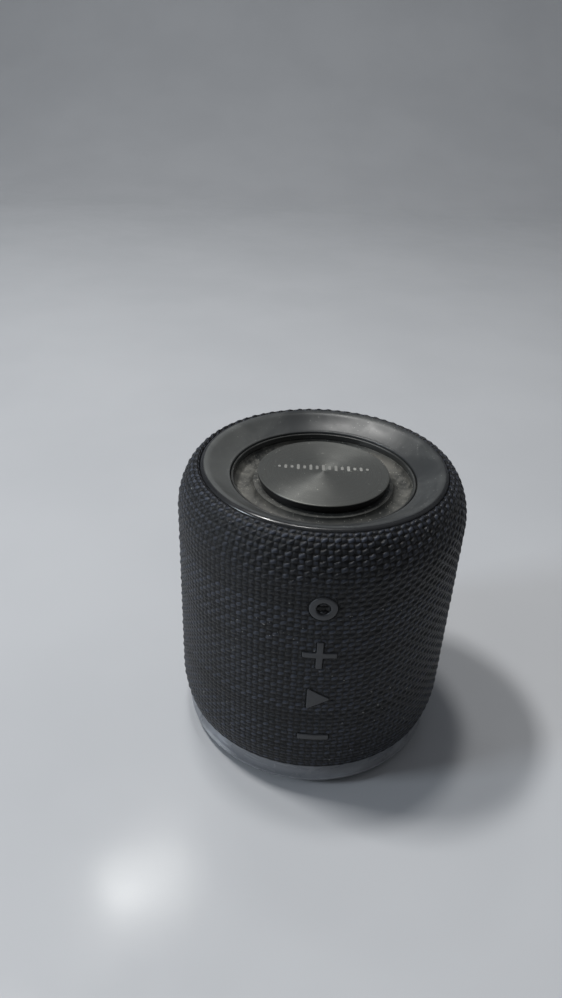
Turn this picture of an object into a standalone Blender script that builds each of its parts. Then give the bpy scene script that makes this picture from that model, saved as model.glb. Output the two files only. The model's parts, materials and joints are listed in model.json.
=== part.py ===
"""A small round portable speaker: a woven sleeve over a slotted tube, a passive radiator in the dished
top, two drivers back to back in an inner cabinet, four symbol buttons on the front and a flap over the
sockets at the back.

Metres, +Z up. The origin is the centre of the foot's underside. The buttons face -Y and +X is to their
right. Every height below is measured from a plane BODY_LIFT above the table; the foot alone reaches down
from it, and the last step lifts all the rest.
"""
import math

import bmesh
import bpy
from mathutils import Matrix, Vector

MM = 0.001
GAP = 0.3 * MM  # between pieces that touch

# Body
BODY_LIFT = 4.0 * MM
BODY_RADIUS = 42.5 * MM
BODY_HEIGHT = 88.0 * MM
SHOULDER_HEIGHT = 13.3 * MM
SHOULDER_POWER = 1.154
SLEEVE_BOTTOM = 5.8 * MM
HEM_RADIUS = 40.9 * MM  # the side draws in to this at its lower edge
HEM_START = 15.0 * MM
SHELL_BOTTOM = 9.3 * MM
SLEEVE_THICKNESS = 0.8 * MM
SHELL_THICKNESS = 1.5 * MM
BEZEL_RADIUS = 35.9 * MM
BODY_SEGMENTS = 40
RADIATOR_SEGMENTS = 32
INNER_SEGMENTS = 16
SCREW_SEGMENTS = 12
HOLE_SEGMENTS = 8

# Base
BASE_LIP_RADIUS = 40.2 * MM
BASE_WALL_RADIUS = 39.6 * MM
BASE_LIP_LOW = -1.2 * MM
BASE_UNDERSIDE = 2.8 * MM
COVER_TOP = 5.4 * MM
BASE_SCREW_CIRCLE = 24.0 * MM
FOOT_INNER = 31.0 * MM
FOOT_OUTER = 36.0 * MM
SINK_RADIUS = 2.4 * MM
SINK_DEPTH = 1.7 * MM
SCREW_HOLE = 1.35 * MM

# Cabinet: a round tube with flats for the drivers at the sides and for the boards at front and back
CABINET_RADIUS = 38.4 * MM
CABINET_SIDE = 31.5 * MM
CABINET_FRONT = 30.0 * MM
CABINET_BOTTOM = COVER_TOP + GAP
CABINET_TOP = 77.6 * MM
CABINET_WALL = 2.0 * MM
FRAME_SCREW_CIRCLE = 31.6 * MM
LEAD_ACROSS = 6.0 * MM
LEAD_HEIGHT = 66.0 * MM

# Passive radiator
CAP_RADIUS = 19.26 * MM
CAP_TOP = 84.7 * MM
CAP_HEIGHT = 2.7 * MM
ROLL_INNER = 20.5 * MM
ROLL_OUTER = 26.2 * MM
ROLL_DEPTH = 2.2 * MM
RUBBER = 0.5 * MM
FRAME_TOP = 80.9 * MM

# Drivers
DRIVER_HEIGHT = 42.0 * MM
DRIVER_HOLE = 18.3 * MM

# Buttons, all in one column on the front
BUTTON_FACE = 42.75 * MM
BUTTON_TRAVEL = 0.6 * MM
POWER_HEIGHT = 68.2 * MM
PLUS_HEIGHT = 52.3 * MM
PLAY_HEIGHT = 36.2 * MM
MINUS_HEIGHT = 20.8 * MM
FLANGE_FRONT = 39.0 * MM
PLUNGER_END = 36.8 * MM
SLEEVE_CLEARANCE = 0.4 * MM
SHELL_CLEARANCE = 0.5 * MM
BOARD_FRONT = 34.2 * MM
BOARD_THICKNESS = 1.2 * MM

# Sockets at the back
RECESS_HALF_WIDTH = 15.7 * MM
RECESS_LOW = 12.6 * MM
RECESS_HIGH = 27.4 * MM
RECESS_WALL = 1.2 * MM
RECESS_FLOOR = 35.9 * MM
RECESS_RIM = 42.45 * MM
MAIN_BOARD_BACK = 31.6 * MM
USB_PLACE = (-8.5 * MM, 22.3 * MM)
CARD_PLACE = (-6.8 * MM, 16.6 * MM)
AUX_PLACE = (8.0 * MM, 20.0 * MM)


def material(name, colour, roughness, metallic=0.0):
    found = bpy.data.materials.new(name)
    found.use_nodes = True
    shader = found.node_tree.nodes["Principled BSDF"]
    shader.inputs["Base Color"].default_value = (*colour, 1.0)
    shader.inputs["Roughness"].default_value = roughness
    shader.inputs["Metallic"].default_value = metallic
    found.diffuse_color = (*colour, 1.0)
    return found


def add_object(name, bm, look=None):
    """The bmesh as an object with outward faces, smooth but for its real edges."""
    bmesh.ops.recalc_face_normals(bm, faces=bm.faces)
    mesh = bpy.data.meshes.new(name)
    bm.to_mesh(mesh)
    bm.free()
    mesh.shade_smooth()
    mesh.set_sharp_from_angle(angle=math.radians(35))
    obj = bpy.data.objects.new(name, mesh)
    bpy.context.scene.collection.objects.link(obj)
    if look:
        mesh.materials.append(look)
    return obj


def turned(name, outline, look=None, segments=BODY_SEGMENTS):
    """The closed outline of (radius, height) points, turned round Z."""
    bm = bmesh.new()
    corners = [bm.verts.new((radius, 0, height)) for radius, height in outline]
    edges = []
    for first, second in zip(corners, corners[1:] + corners[:1]):
        if first.co.x > 0 or second.co.x > 0:
            edges.append(bm.edges.new((first, second)))
    bmesh.ops.spin(
        bm,
        geom=corners + edges,
        cent=(0, 0, 0),
        axis=(0, 0, 1),
        angle=math.tau,
        steps=segments,
        use_merge=True,
    )
    bmesh.ops.remove_doubles(bm, verts=bm.verts, dist=1e-7)
    return add_object(name, bm, look)


def prism(name, outline, low, high, look=None, along="Z"):
    """The outline of points, extruded from low to high along Z, or along Y from points of (x, z)."""
    bm = bmesh.new()
    if along == "Z":
        corners = [bm.verts.new((a, b, low)) for a, b in outline]
        step = Vector((0, 0, high - low))
    else:
        corners = [bm.verts.new((a, low, b)) for a, b in outline]
        step = Vector((0, high - low, 0))
    face = bm.faces.new(corners)
    grown = bmesh.ops.extrude_face_region(bm, geom=[face])
    moved = [part for part in grown["geom"] if isinstance(part, bmesh.types.BMVert)]
    bmesh.ops.translate(bm, verts=moved, vec=step)
    return add_object(name, bm, look)


def box(name, low, high, look=None, rounding=0.0):
    """A box between two corners, with its edges bevelled where rounding is given."""
    bm = bmesh.new()
    bmesh.ops.create_cube(bm, size=1.0)
    size = Vector(high) - Vector(low)
    centre = (Vector(high) + Vector(low)) / 2
    bmesh.ops.scale(bm, vec=size, verts=bm.verts)
    bmesh.ops.translate(bm, vec=centre, verts=bm.verts)
    if rounding:
        bmesh.ops.bevel(
            bm, geom=bm.edges[:], offset=rounding, segments=1, affect="EDGES"
        )
    return add_object(name, bm, look)


def rod(name, radius, low, high, look=None, segments=INNER_SEGMENTS, along="Z", place=(0, 0, 0)):
    """A round bar from low to high along an axis, with its centre line through place."""
    obj = turned(name, [(0, low), (radius, low), (radius, high), (0, high)], look, segments)
    turn = {
        "X": Matrix.Rotation(math.pi / 2, 4, "Y"),
        "Y": Matrix.Rotation(-math.pi / 2, 4, "X"),
        "Z": Matrix(),
    }
    obj.data.transform(Matrix.Translation(place) @ turn[along])
    return obj


def copy_of(obj, name):
    """Another object with the same mesh."""
    copy = bpy.data.objects.new(name, obj.data)
    bpy.context.scene.collection.objects.link(copy)
    return copy


def combine(obj, other, operation):
    """The exact Boolean of two objects, kept on the first one. The second one is used up."""
    modifier = obj.modifiers.new("combine", "BOOLEAN")
    modifier.operation = operation
    modifier.solver = "EXACT"
    modifier.object = other
    graph = bpy.context.evaluated_depsgraph_get()
    result = bpy.data.meshes.new_from_object(obj.evaluated_get(graph))
    obj.modifiers.clear()
    obj.data = result
    bpy.data.objects.remove(other)
    return obj


def cut(obj, *cutters):
    for cutter in cutters:
        combine(obj, cutter, "DIFFERENCE")
    return obj


def join(obj, *others):
    for other in others:
        combine(obj, other, "UNION")
    return obj


def arc(centre, radius_a, radius_b, start, end, steps):
    """Points on an ellipse's arc, with angles in degrees."""
    points = []
    for step in range(steps + 1):
        angle = math.radians(start + (end - start) * step / steps)
        points.append((centre[0] + radius_a * math.cos(angle), centre[1] + radius_b * math.sin(angle)))
    return points


def grown(outline, distance):
    """A counter-clockwise outline moved outwards by distance, with mitred corners."""
    moved = []
    count = len(outline)
    for index in range(count):
        before = Vector(outline[index - 1])
        here = Vector(outline[index])
        after = Vector(outline[(index + 1) % count])
        first = (here - before).normalized()
        second = (after - here).normalized()
        normal_a = Vector((first.y, -first.x))
        normal_b = Vector((second.y, -second.x))
        mitre = (normal_a + normal_b).normalized()
        moved.append(tuple(here + mitre * (distance / mitre.dot(normal_a))))
    return moved


def shifted(outline, across, up):
    return [(a + across, b + up) for a, b in outline]


def rectangle(half_width, half_height):
    lower = [(-half_width, -half_height), (half_width, -half_height)]
    upper = [(half_width, half_height), (-half_width, half_height)]
    return lower + upper


def circle(radius, steps=INNER_SEGMENTS):
    return arc((0, 0), radius, radius, 0, 360 - 360 / steps, steps - 1)


# Outer skins ------------------------------------------------------------------


def skin_outline(inset, end_radius, bottom, steps=5):
    """The body's outer line moved inwards: drawn-in hem, straight side, shoulder up to end_radius."""
    rise = BODY_RADIUS - BEZEL_RADIUS
    start = math.asin(((end_radius + inset * 0.1 - BEZEL_RADIUS) / rise) ** (1 / SHOULDER_POWER))
    points = []
    for step in range(steps + 1):
        angle = math.pi / 2 + (start - math.pi / 2) * step / steps
        across = math.sin(angle) ** SHOULDER_POWER
        up = max(math.cos(angle), 0.0) ** SHOULDER_POWER
        point = Vector((BEZEL_RADIUS + rise * across, BODY_HEIGHT - SHOULDER_HEIGHT * (1 - up)))
        slope_r = SHOULDER_HEIGHT * across / max(math.sin(angle), 0.01)
        slope_z = rise * up / max(math.cos(angle), 0.01)
        normal = Vector((slope_r, slope_z)).normalized()
        if step == 0:
            normal = Vector((1, 0))
        point -= normal * inset
        points.append((max(point.x, end_radius), point.y))
    hem = []
    hem_steps = 3
    for step in range(hem_steps + 1):
        height = bottom + (HEM_START - bottom) * step / hem_steps
        share = (HEM_START - height) / (HEM_START - SLEEVE_BOTTOM)
        draw = (BODY_RADIUS - HEM_RADIUS) * share ** 2
        hem.append((BODY_RADIUS - inset - draw, height))
    return [*hem, *points]


def layer(name, inset, thickness, end_radius, bottom, look):
    """A skin of even thickness that follows the body's outer line."""
    outside = skin_outline(inset, end_radius, bottom)
    inside = skin_outline(inset + thickness, end_radius, bottom)
    return turned(name, outside + inside[::-1], look)


def symbol_outlines():
    """Each button's name, the outline of its symbol in (x, z) and its centre's height."""
    plus_arm = 4.7 * MM
    plus_half_bar = 0.9 * MM
    plus = [
        (plus_half_bar, -plus_arm), (plus_half_bar, -plus_half_bar), (plus_arm, -plus_half_bar),
        (plus_arm, plus_half_bar), (plus_half_bar, plus_half_bar), (plus_half_bar, plus_arm),
        (-plus_half_bar, plus_arm), (-plus_half_bar, plus_half_bar), (-plus_arm, plus_half_bar),
        (-plus_arm, -plus_half_bar), (-plus_half_bar, -plus_half_bar), (-plus_half_bar, -plus_arm),
    ]
    triangle = [(-2.6 * MM, -3.9 * MM), (4.0 * MM, 0), (-2.6 * MM, 3.9 * MM)]
    return [
        ("power_button", circle(3.8 * MM), POWER_HEIGHT),
        ("volume_up_button", plus, PLUS_HEIGHT),
        ("play_button", triangle, PLAY_HEIGHT),
        ("volume_down_button", rectangle(4.5 * MM, 1.0 * MM), MINUS_HEIGHT),
    ]


def rear_window():
    reach = RECESS_HALF_WIDTH + GAP
    return box("window", (-reach, 30 * MM, RECESS_LOW - GAP), (reach, 50 * MM, RECESS_HIGH + GAP))


def symbol_windows(clearance):
    return [
        prism("window", shifted(grown(outline, clearance), 0, height), -50 * MM, -30 * MM, along="Y")
        for _, outline, height in symbol_outlines()
    ]


def make_sleeve():
    look = material("woven_sleeve", (0.018, 0.019, 0.021), 0.85)
    sleeve = layer("fabric_sleeve", 0, SLEEVE_THICKNESS, BEZEL_RADIUS + GAP, SLEEVE_BOTTOM, look)
    cut(sleeve, rear_window(), *symbol_windows(SLEEVE_CLEARANCE))


def make_shell():
    look = material("shell_plastic", (0.02, 0.02, 0.022), 0.6)
    inset = SLEEVE_THICKNESS + GAP
    shell = layer("grille_shell", inset, SHELL_THICKNESS, BEZEL_RADIUS + GAP, SHELL_BOTTOM, look)
    cut(shell, rear_window(), *symbol_windows(SHELL_CLEARANCE))
    slot_half_width = 1.3 * MM
    slot_half_height = 21 * MM
    slots_each_side = 7
    slot_pitch = math.radians(7.3)
    for side in (0, math.pi):
        for index in range(slots_each_side):
            angle = side + (index - (slots_each_side - 1) / 2) * slot_pitch
            slot = box(
                "slot",
                (34 * MM, -slot_half_width, DRIVER_HEIGHT - slot_half_height),
                (50 * MM, slot_half_width, DRIVER_HEIGHT + slot_half_height),
            )
            slot.data.transform(Matrix.Rotation(angle, 4, "Z"))
            cut(shell, slot)


def make_bezel():
    look = material("satin_plastic", (0.03, 0.031, 0.034), 0.3)
    inner = 27.3 * MM
    wall = 1.3 * MM
    low = FRAME_TOP + GAP
    lip_bottom = FRAME_TOP + GAP + RUBBER + GAP
    outline = [
        (BEZEL_RADIUS, low),
        (BEZEL_RADIUS, 87.3 * MM),
        (35.3 * MM, BODY_HEIGHT),
        (34.6 * MM, 87.7 * MM),
        (31.0 * MM, 85.3 * MM),
        (inner + 0.4 * MM, 84.0 * MM),
        (inner, 83.7 * MM),
        (inner, lip_bottom),
        (inner + wall, lip_bottom),
        (inner + wall, 83.0 * MM),
        (BEZEL_RADIUS - wall, 86.0 * MM),
        (BEZEL_RADIUS - wall, low),
    ]
    turned("top_bezel", outline, look)


# Base -------------------------------------------------------------------------


def base_screw_places():
    return [
        (BASE_SCREW_CIRCLE * math.cos(angle), BASE_SCREW_CIRCLE * math.sin(angle))
        for angle in (math.radians(90 + 120 * index) for index in range(3))
    ]


def frame_screw_places():
    return [
        (FRAME_SCREW_CIRCLE * math.cos(angle), FRAME_SCREW_CIRCLE * math.sin(angle))
        for angle in (math.radians(45 + 90 * index) for index in range(4))
    ]


def screw_hole(across, along, low, high):
    return rod("hole", SCREW_HOLE, low, high, place=(across, along, 0), segments=HOLE_SEGMENTS)


def make_base():
    plastic = material("base_plastic", (0.10, 0.105, 0.112), 0.35)
    rubber = material("foot_rubber", (0.02, 0.02, 0.02), 0.9)
    top = SHELL_BOTTOM - GAP
    rounding = 0.8 * MM
    sweep = 4.5 * MM
    low = BASE_UNDERSIDE
    cover_radius = 37.6 * MM
    collar_inner = CABINET_RADIUS + 0.4 * MM
    ledge_inner = 35.5 * MM
    step_height = 4.1 * MM
    outline = [
        (BASE_WALL_RADIUS, top),
        (collar_inner, top),
        (collar_inner, COVER_TOP),
        (ledge_inner, COVER_TOP),
        (ledge_inner, step_height + GAP),
        (cover_radius + GAP, step_height + GAP),
        (cover_radius + GAP, BASE_LIP_LOW),
        *arc((BASE_LIP_RADIUS - rounding, BASE_LIP_LOW + rounding), rounding, rounding, -90, 0, 2),
        (BASE_WALL_RADIUS, BASE_LIP_LOW + sweep),
    ]
    turned("base_ring", outline, plastic)

    outline = [
        (0, low), (cover_radius, low), (cover_radius, step_height),
        (ledge_inner - GAP, step_height), (ledge_inner - GAP, COVER_TOP), (0, COVER_TOP),
    ]
    cover = turned("base_cover", outline, plastic)
    for across, along in base_screw_places():
        place = (across, along, 0)
        sink = rod("sink", SINK_RADIUS, low - 1 * MM, low + SINK_DEPTH, place=place, segments=SCREW_SEGMENTS)
        cut(cover, sink, screw_hole(across, along, low - 1 * MM, COVER_TOP + 1 * MM))

    foot_top = low - GAP + BODY_LIFT
    chamfer = 0.4 * MM
    outline = [
        (FOOT_INNER, 0), (FOOT_INNER, foot_top), (FOOT_OUTER, foot_top), (FOOT_OUTER, chamfer),
        (FOOT_OUTER - chamfer, 0),
    ]
    turned("foot_ring", outline, rubber)


def make_screws():
    """Pan-head screws: three up through the base cover, four down through the radiator's frame."""
    steel = material("screw_steel", (0.25, 0.25, 0.26), 0.35, 1.0)
    head_radius = 1.9 * MM
    head_height = 1.1 * MM
    shank_radius = 1.05 * MM
    shank_length = 8.0 * MM
    outline = [
        (0, -head_height), (head_radius - 0.4 * MM, -head_height), (head_radius, -head_height + 0.4 * MM),
        (head_radius, 0), (shank_radius, 0), (shank_radius, shank_length), (0, shank_length),
    ]
    first = turned("base_screw_1", outline, steel, SCREW_SEGMENTS)
    recess = 0.6 * MM
    arm = 1.0 * MM
    half = 0.25 * MM
    cross = join(
        box("cross", (-arm, -half, -2 * MM), (arm, half, recess - head_height)),
        box("cross", (-half, -arm, -2 * MM), (half, arm, recess - head_height)),
    )
    cut(first, cross)
    seat = BASE_UNDERSIDE + SINK_DEPTH - GAP
    for index, (across, along) in enumerate(base_screw_places()):
        screw = first if index == 0 else copy_of(first, f"base_screw_{index + 1}")
        screw.location = (across, along, seat)
    for index, (across, along) in enumerate(frame_screw_places()):
        screw = copy_of(first, f"frame_screw_{index + 1}")
        screw.rotation_euler = (math.pi, 0, 0)
        screw.location = (across, along, FRAME_TOP + GAP)


# Cabinet and passive radiator ----------------------------------------------------


def cabinet_outline(inset):
    """A circle cut by four flats, counter-clockwise from the middle of the right-hand flat."""
    radius = CABINET_RADIUS - inset
    side = CABINET_SIDE - inset
    front = CABINET_FRONT - inset
    low_angle = math.degrees(math.acos(side / radius))
    high_angle = math.degrees(math.asin(front / radius))
    points = []
    for quarter in range(4):
        start, end = (low_angle, high_angle) if quarter % 2 == 0 else (90 - high_angle, 90 - low_angle)
        points += arc((0, 0), radius, radius, 90 * quarter + start, 90 * quarter + end, 3)
    return points


def make_cabinet():
    look = material("cabinet_plastic", (0.05, 0.05, 0.052), 0.55)
    cabinet = prism("speaker_cabinet", cabinet_outline(0), CABINET_BOTTOM, CABINET_TOP, look)
    cut(cabinet, prism("hollow", cabinet_outline(CABINET_WALL), CABINET_BOTTOM + CABINET_WALL, 90 * MM))
    for side in (-1, 1):
        hole = rod("hole", DRIVER_HOLE, 25 * MM, 35 * MM, along="X", place=(0, 0, DRIVER_HEIGHT))
        hole.data.transform(Matrix.Rotation(0 if side > 0 else math.pi, 4, "Z"))
        cut(cabinet, hole)
    for across, along in frame_screw_places():
        boss = rod("boss", 5.4 * MM, 64 * MM, CABINET_TOP, place=(across, along, 0), segments=SCREW_SEGMENTS)
        inside = prism("inside", cabinet_outline(0.6 * MM), 60 * MM, 80 * MM)
        join(cabinet, combine(boss, inside, "INTERSECT"))
        cut(cabinet, screw_hole(across, along, 66 * MM, 90 * MM))
    for across, along in base_screw_places():
        low = CABINET_BOTTOM + 1 * MM
        boss = rod("boss", 3.2 * MM, low, 15 * MM, place=(across, along, 0), segments=SCREW_SEGMENTS)
        join(cabinet, boss)
        cut(cabinet, screw_hole(across, along, 0, 13 * MM))
    place = (LEAD_ACROSS, 0, LEAD_HEIGHT)
    cut(cabinet, rod("hole", 1.2 * MM, 20 * MM, 35 * MM, along="Y", place=place, segments=HOLE_SEGMENTS))


def make_radiator():
    plastic = material("frame_plastic", (0.04, 0.04, 0.042), 0.5)
    foam = material("gasket_foam", (0.03, 0.03, 0.03), 0.95)
    rubber = material("surround_rubber", (0.045, 0.046, 0.044), 0.75)
    steel = material("mass_steel", (0.3, 0.3, 0.3), 0.4, 1.0)
    spun = material("spun_metal", (0.07, 0.072, 0.07), 0.35, 0.9)

    frame_bottom = 79.2 * MM
    opening = 26.6 * MM
    frame_radius = 38.0 * MM
    outline = [
        (opening, frame_bottom), (frame_radius, frame_bottom),
        (frame_radius, FRAME_TOP), (opening, FRAME_TOP),
    ]
    frame = turned("radiator_frame", outline, plastic)
    for across, along in frame_screw_places():
        cut(frame, screw_hole(across, along, 70 * MM, 90 * MM))

    gasket = prism("radiator_gasket", cabinet_outline(0), CABINET_TOP + GAP, frame_bottom - GAP, foam)
    cut(gasket, prism("middle", cabinet_outline(CABINET_WALL), 70 * MM, 90 * MM))

    low = FRAME_TOP + GAP
    high = low + RUBBER
    middle = (ROLL_INNER + ROLL_OUTER) / 2
    half = (ROLL_OUTER - ROLL_INNER) / 2
    outline = [
        (17.5 * MM, high),
        *arc((middle, high), half, ROLL_DEPTH, 180, 360, 5),
        (29.3 * MM, high),
        (29.3 * MM, low),
        *arc((middle, low), half + RUBBER * 0.6, ROLL_DEPTH, 0, -180, 5),
        (17.5 * MM, low),
    ]
    turned("radiator_surround", outline, rubber, RADIATOR_SEGMENTS)

    ring_low = high + GAP
    ring_top = 83.6 * MM
    outline = [(26.3 * MM, ring_low), (27.0 * MM, ring_low), (26.9 * MM, ring_top), (26.4 * MM, ring_top)]
    turned("radiator_clamp_ring", outline, plastic, BODY_SEGMENTS)

    plate_top = low - GAP
    plate_bottom = plate_top - 1.6 * MM
    plate_radius = 19.2 * MM
    outline = [(0, plate_bottom), (plate_radius, plate_bottom), (plate_radius, plate_top), (0, plate_top)]
    turned("radiator_plate", outline, steel, RADIATOR_SEGMENTS)

    cap_low = CAP_TOP - CAP_HEIGHT
    chamfer = 0.35 * MM
    outline = [
        (0, cap_low), (18.6 * MM, cap_low), (CAP_RADIUS, CAP_TOP - chamfer * 1.5),
        (CAP_RADIUS - chamfer, CAP_TOP), (0, CAP_TOP),
    ]
    turned("radiator_cap", outline, spun, BODY_SEGMENTS)


# Drivers ------------------------------------------------------------------------


def driver_parts():
    """Each piece of a driver: name, outline and look. Outlines are (radius, height over the flat) in mm."""
    tin = material("basket_steel", (0.1, 0.1, 0.1), 0.5, 0.8)
    rubber = material("driver_rubber", (0.03, 0.03, 0.03), 0.8)
    paper = material("cone_paper", (0.05, 0.05, 0.05), 0.9)
    cap = material("dust_cap", (0.06, 0.06, 0.06), 0.5)
    copper = material("coil_copper", (0.5, 0.25, 0.1), 0.4, 1.0)
    cloth = material("spider_cloth", (0.45, 0.3, 0.12), 0.9)
    iron = material("pole_steel", (0.45, 0.45, 0.45), 0.35, 1.0)
    ferrite = material("ferrite", (0.08, 0.08, 0.085), 0.6)
    basket = [
        (20.8, 1.3), (17.6, 1.3), (10.9, -8.3), (8.2, -8.3),
        (8.2, -9.1), (11.4, -9.1), (17.7, 0.3), (20.8, 0.3),
    ]
    surround = [
        (13.7, 1.6), (13.7, 2.0), *arc((16.6, 2.0), 1.8, 1.8, 180, 0, 4), (20.4, 2.0),
        (20.4, 1.6), *arc((16.6, 1.6), 1.5, 1.7, 0, 180, 4),
    ]
    cone = [(6.6, -5.1), (14.9, 0.9), (14.9, 1.3), (14.3, 1.3), (6.6, -4.5)]
    dome = [(6.4, -4.1), (3.8, -2.6), (0, -2.1), (0, -2.5), (3.7, -3.0), (6.0, -4.3)]
    coil = [(5.95, -12.5), (6.5, -12.5), (6.5, -5.4), (5.95, -5.4)]
    spider = [
        (6.8, -7.2), (8.7, -6.6), (10.6, -7.2), (10.6, -6.8), (8.7, -6.2), (6.8, -6.8),
    ]
    top_plate = [(6.9, -11.4), (11.5, -11.4), (11.5, -9.4), (6.9, -9.4)]
    magnet = [(8.0, -16.2), (12.5, -16.2), (12.5, -11.7), (8.0, -11.7)]
    yoke = [(0, -18.5), (12.0, -18.5), (12.0, -16.5), (5.6, -16.5), (5.6, -9.4), (0, -9.4)]
    return [
        ("basket", basket, tin),
        ("surround", surround, rubber),
        ("cone", cone, paper),
        ("dust_cap", dome, cap),
        ("voice_coil", coil, copper),
        ("spider", spider, cloth),
        ("top_plate", top_plate, iron),
        ("magnet", magnet, ferrite),
        ("yoke", yoke, iron),
    ]


def make_drivers():
    windows = 4
    for piece, outline, look in driver_parts():
        scaled = [(radius * MM, height * MM) for radius, height in outline]
        first = turned(f"left_{piece}", scaled, look, INNER_SEGMENTS)
        if piece == "basket":
            for index in range(windows):
                opening = box("window", (11.6 * MM, -3.2 * MM, -7.0 * MM), (20 * MM, 3.2 * MM, -1.6 * MM))
                opening.data.transform(Matrix.Rotation(math.radians(45 + 90 * index), 4, "Z"))
                cut(first, opening)
        second = copy_of(first, f"right_{piece}")
        for obj, side in ((first, -1), (second, 1)):
            obj.rotation_euler = (0, side * math.pi / 2, 0)
            obj.location = (side * CABINET_SIDE, 0, DRIVER_HEIGHT)


# Buttons ------------------------------------------------------------------------


def make_buttons():
    """A symbol that stands through the sleeve, a flange behind the shell and a plunger over the switch."""
    rubber = material("button_rubber", (0.06, 0.062, 0.066), 0.45)
    flange_radius = 6.2 * MM
    flange_back = FLANGE_FRONT - 1.0 * MM
    plunger_radius = 1.6 * MM
    overlap = FLANGE_FRONT - 0.5 * MM
    dish_radius = 2.0 * MM
    dish_floor = BUTTON_FACE - 0.85 * MM
    for name, outline, height in symbol_outlines():
        centre = (0, 0, height)
        button = prism(name, shifted(outline, 0, height), -45 * MM, -overlap, rubber, along="Y")
        combine(button, rod("face", BUTTON_FACE, 0, BODY_HEIGHT, segments=BODY_SEGMENTS), "INTERSECT")
        if name == "power_button":
            cut(button, rod("dish", dish_radius, -45 * MM, -dish_floor, along="Y", place=centre))
        flange = rod("flange", flange_radius, -FLANGE_FRONT, -flange_back, along="Y", place=centre)
        plunger = rod("plunger", plunger_radius, -overlap, -PLUNGER_END, along="Y", place=centre)
        join(button, join(flange, plunger))


def make_switches():
    body = material("switch_plastic", (0.03, 0.03, 0.03), 0.5)
    board = material("solder_mask", (0.01, 0.05, 0.03), 0.4)
    lamp = material("lamp_lens", (0.8, 0.82, 0.85), 0.2)
    half_body = 3.0 * MM
    body_back = BOARD_FRONT + GAP
    body_front = body_back + 1.0 * MM
    stem_front = PLUNGER_END - BUTTON_TRAVEL - GAP
    low = (-half_body, -body_front, -half_body)
    high = (half_body, -body_back, half_body)
    first = box("power_switch", low, high, body)
    join(first, rod("stem", 1.2 * MM, -stem_front, -body_back - 0.5 * MM, along="Y", segments=HOLE_SEGMENTS))
    names = ("power_switch", "volume_up_switch", "play_switch", "volume_down_switch")
    for name, (_, _, height) in zip(names, symbol_outlines()):
        switch = first if name == first.name else copy_of(first, name)
        switch.location = (0, 0, height)

    outline = grown(rectangle(6 * MM, 30.5 * MM), 1 * MM)
    board_back = BOARD_FRONT - BOARD_THICKNESS
    prism("button_board", shifted(outline, 0, 45 * MM), -BOARD_FRONT, -board_back, board, along="Y")
    box(
        "status_light",
        (4.2 * MM, -(body_back + 0.9 * MM), POWER_HEIGHT - 1 * MM),
        (5.8 * MM, -body_back, POWER_HEIGHT + 1 * MM),
        lamp,
        rounding=0.2 * MM,
    )


# Boards, battery and sockets --------------------------------------------------------


def make_recess():
    plastic = material("recess_plastic", (0.025, 0.025, 0.027), 0.5)
    low = (-RECESS_HALF_WIDTH, RECESS_FLOOR - RECESS_WALL, RECESS_LOW)
    high = (RECESS_HALF_WIDTH, 50 * MM, RECESS_HIGH)
    recess = box("port_recess", low, high, plastic)
    combine(recess, rod("rim", RECESS_RIM, 0, BODY_HEIGHT, segments=BODY_SEGMENTS), "INTERSECT")
    inner_low = (low[0] + RECESS_WALL, RECESS_FLOOR, low[2] + RECESS_WALL)
    inner_high = (high[0] - RECESS_WALL, 60 * MM, high[2] - RECESS_WALL)
    cut(recess, box("inside", inner_low, inner_high))
    usb = grown(rectangle(3.9 * MM, 1.1 * MM), 0.8 * MM)
    card = rectangle(6.2 * MM, 1.0 * MM)
    openings = [(usb, USB_PLACE), (card, CARD_PLACE), (circle(3.4 * MM, 20), AUX_PLACE)]
    for outline, (across, up) in openings:
        cut(recess, prism("opening", shifted(outline, across, up), 30 * MM, 38 * MM, along="Y"))


def make_port_cover():
    rubber = material("flap_rubber", (0.03, 0.03, 0.032), 0.6)
    half_width = 14.2 * MM
    low = RECESS_LOW + RECESS_WALL + GAP
    high = 25.6 * MM
    lip_half_width = 5.0 * MM
    lip_height = 1.2 * MM
    cover = box("port_cover", (-half_width, 37 * MM, low), (half_width, 50 * MM, high), rubber)
    combine(cover, rod("face", RECESS_RIM, 0, BODY_HEIGHT, segments=BODY_SEGMENTS), "INTERSECT")
    lip = box("lip", (-lip_half_width, 41.6 * MM, high - lip_height), (lip_half_width, 50 * MM, high))
    combine(lip, rod("face", BUTTON_FACE, 0, BODY_HEIGHT, segments=BODY_SEGMENTS), "INTERSECT")
    join(cover, lip)
    cut(cover, rod("back", 41.0 * MM, 0, BODY_HEIGHT, segments=BODY_SEGMENTS))
    hinge = Vector((0, RECESS_RIM, low - 0.1 * MM))
    cover.data.transform(Matrix.Translation(-hinge))
    cover.location = hinge


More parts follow.
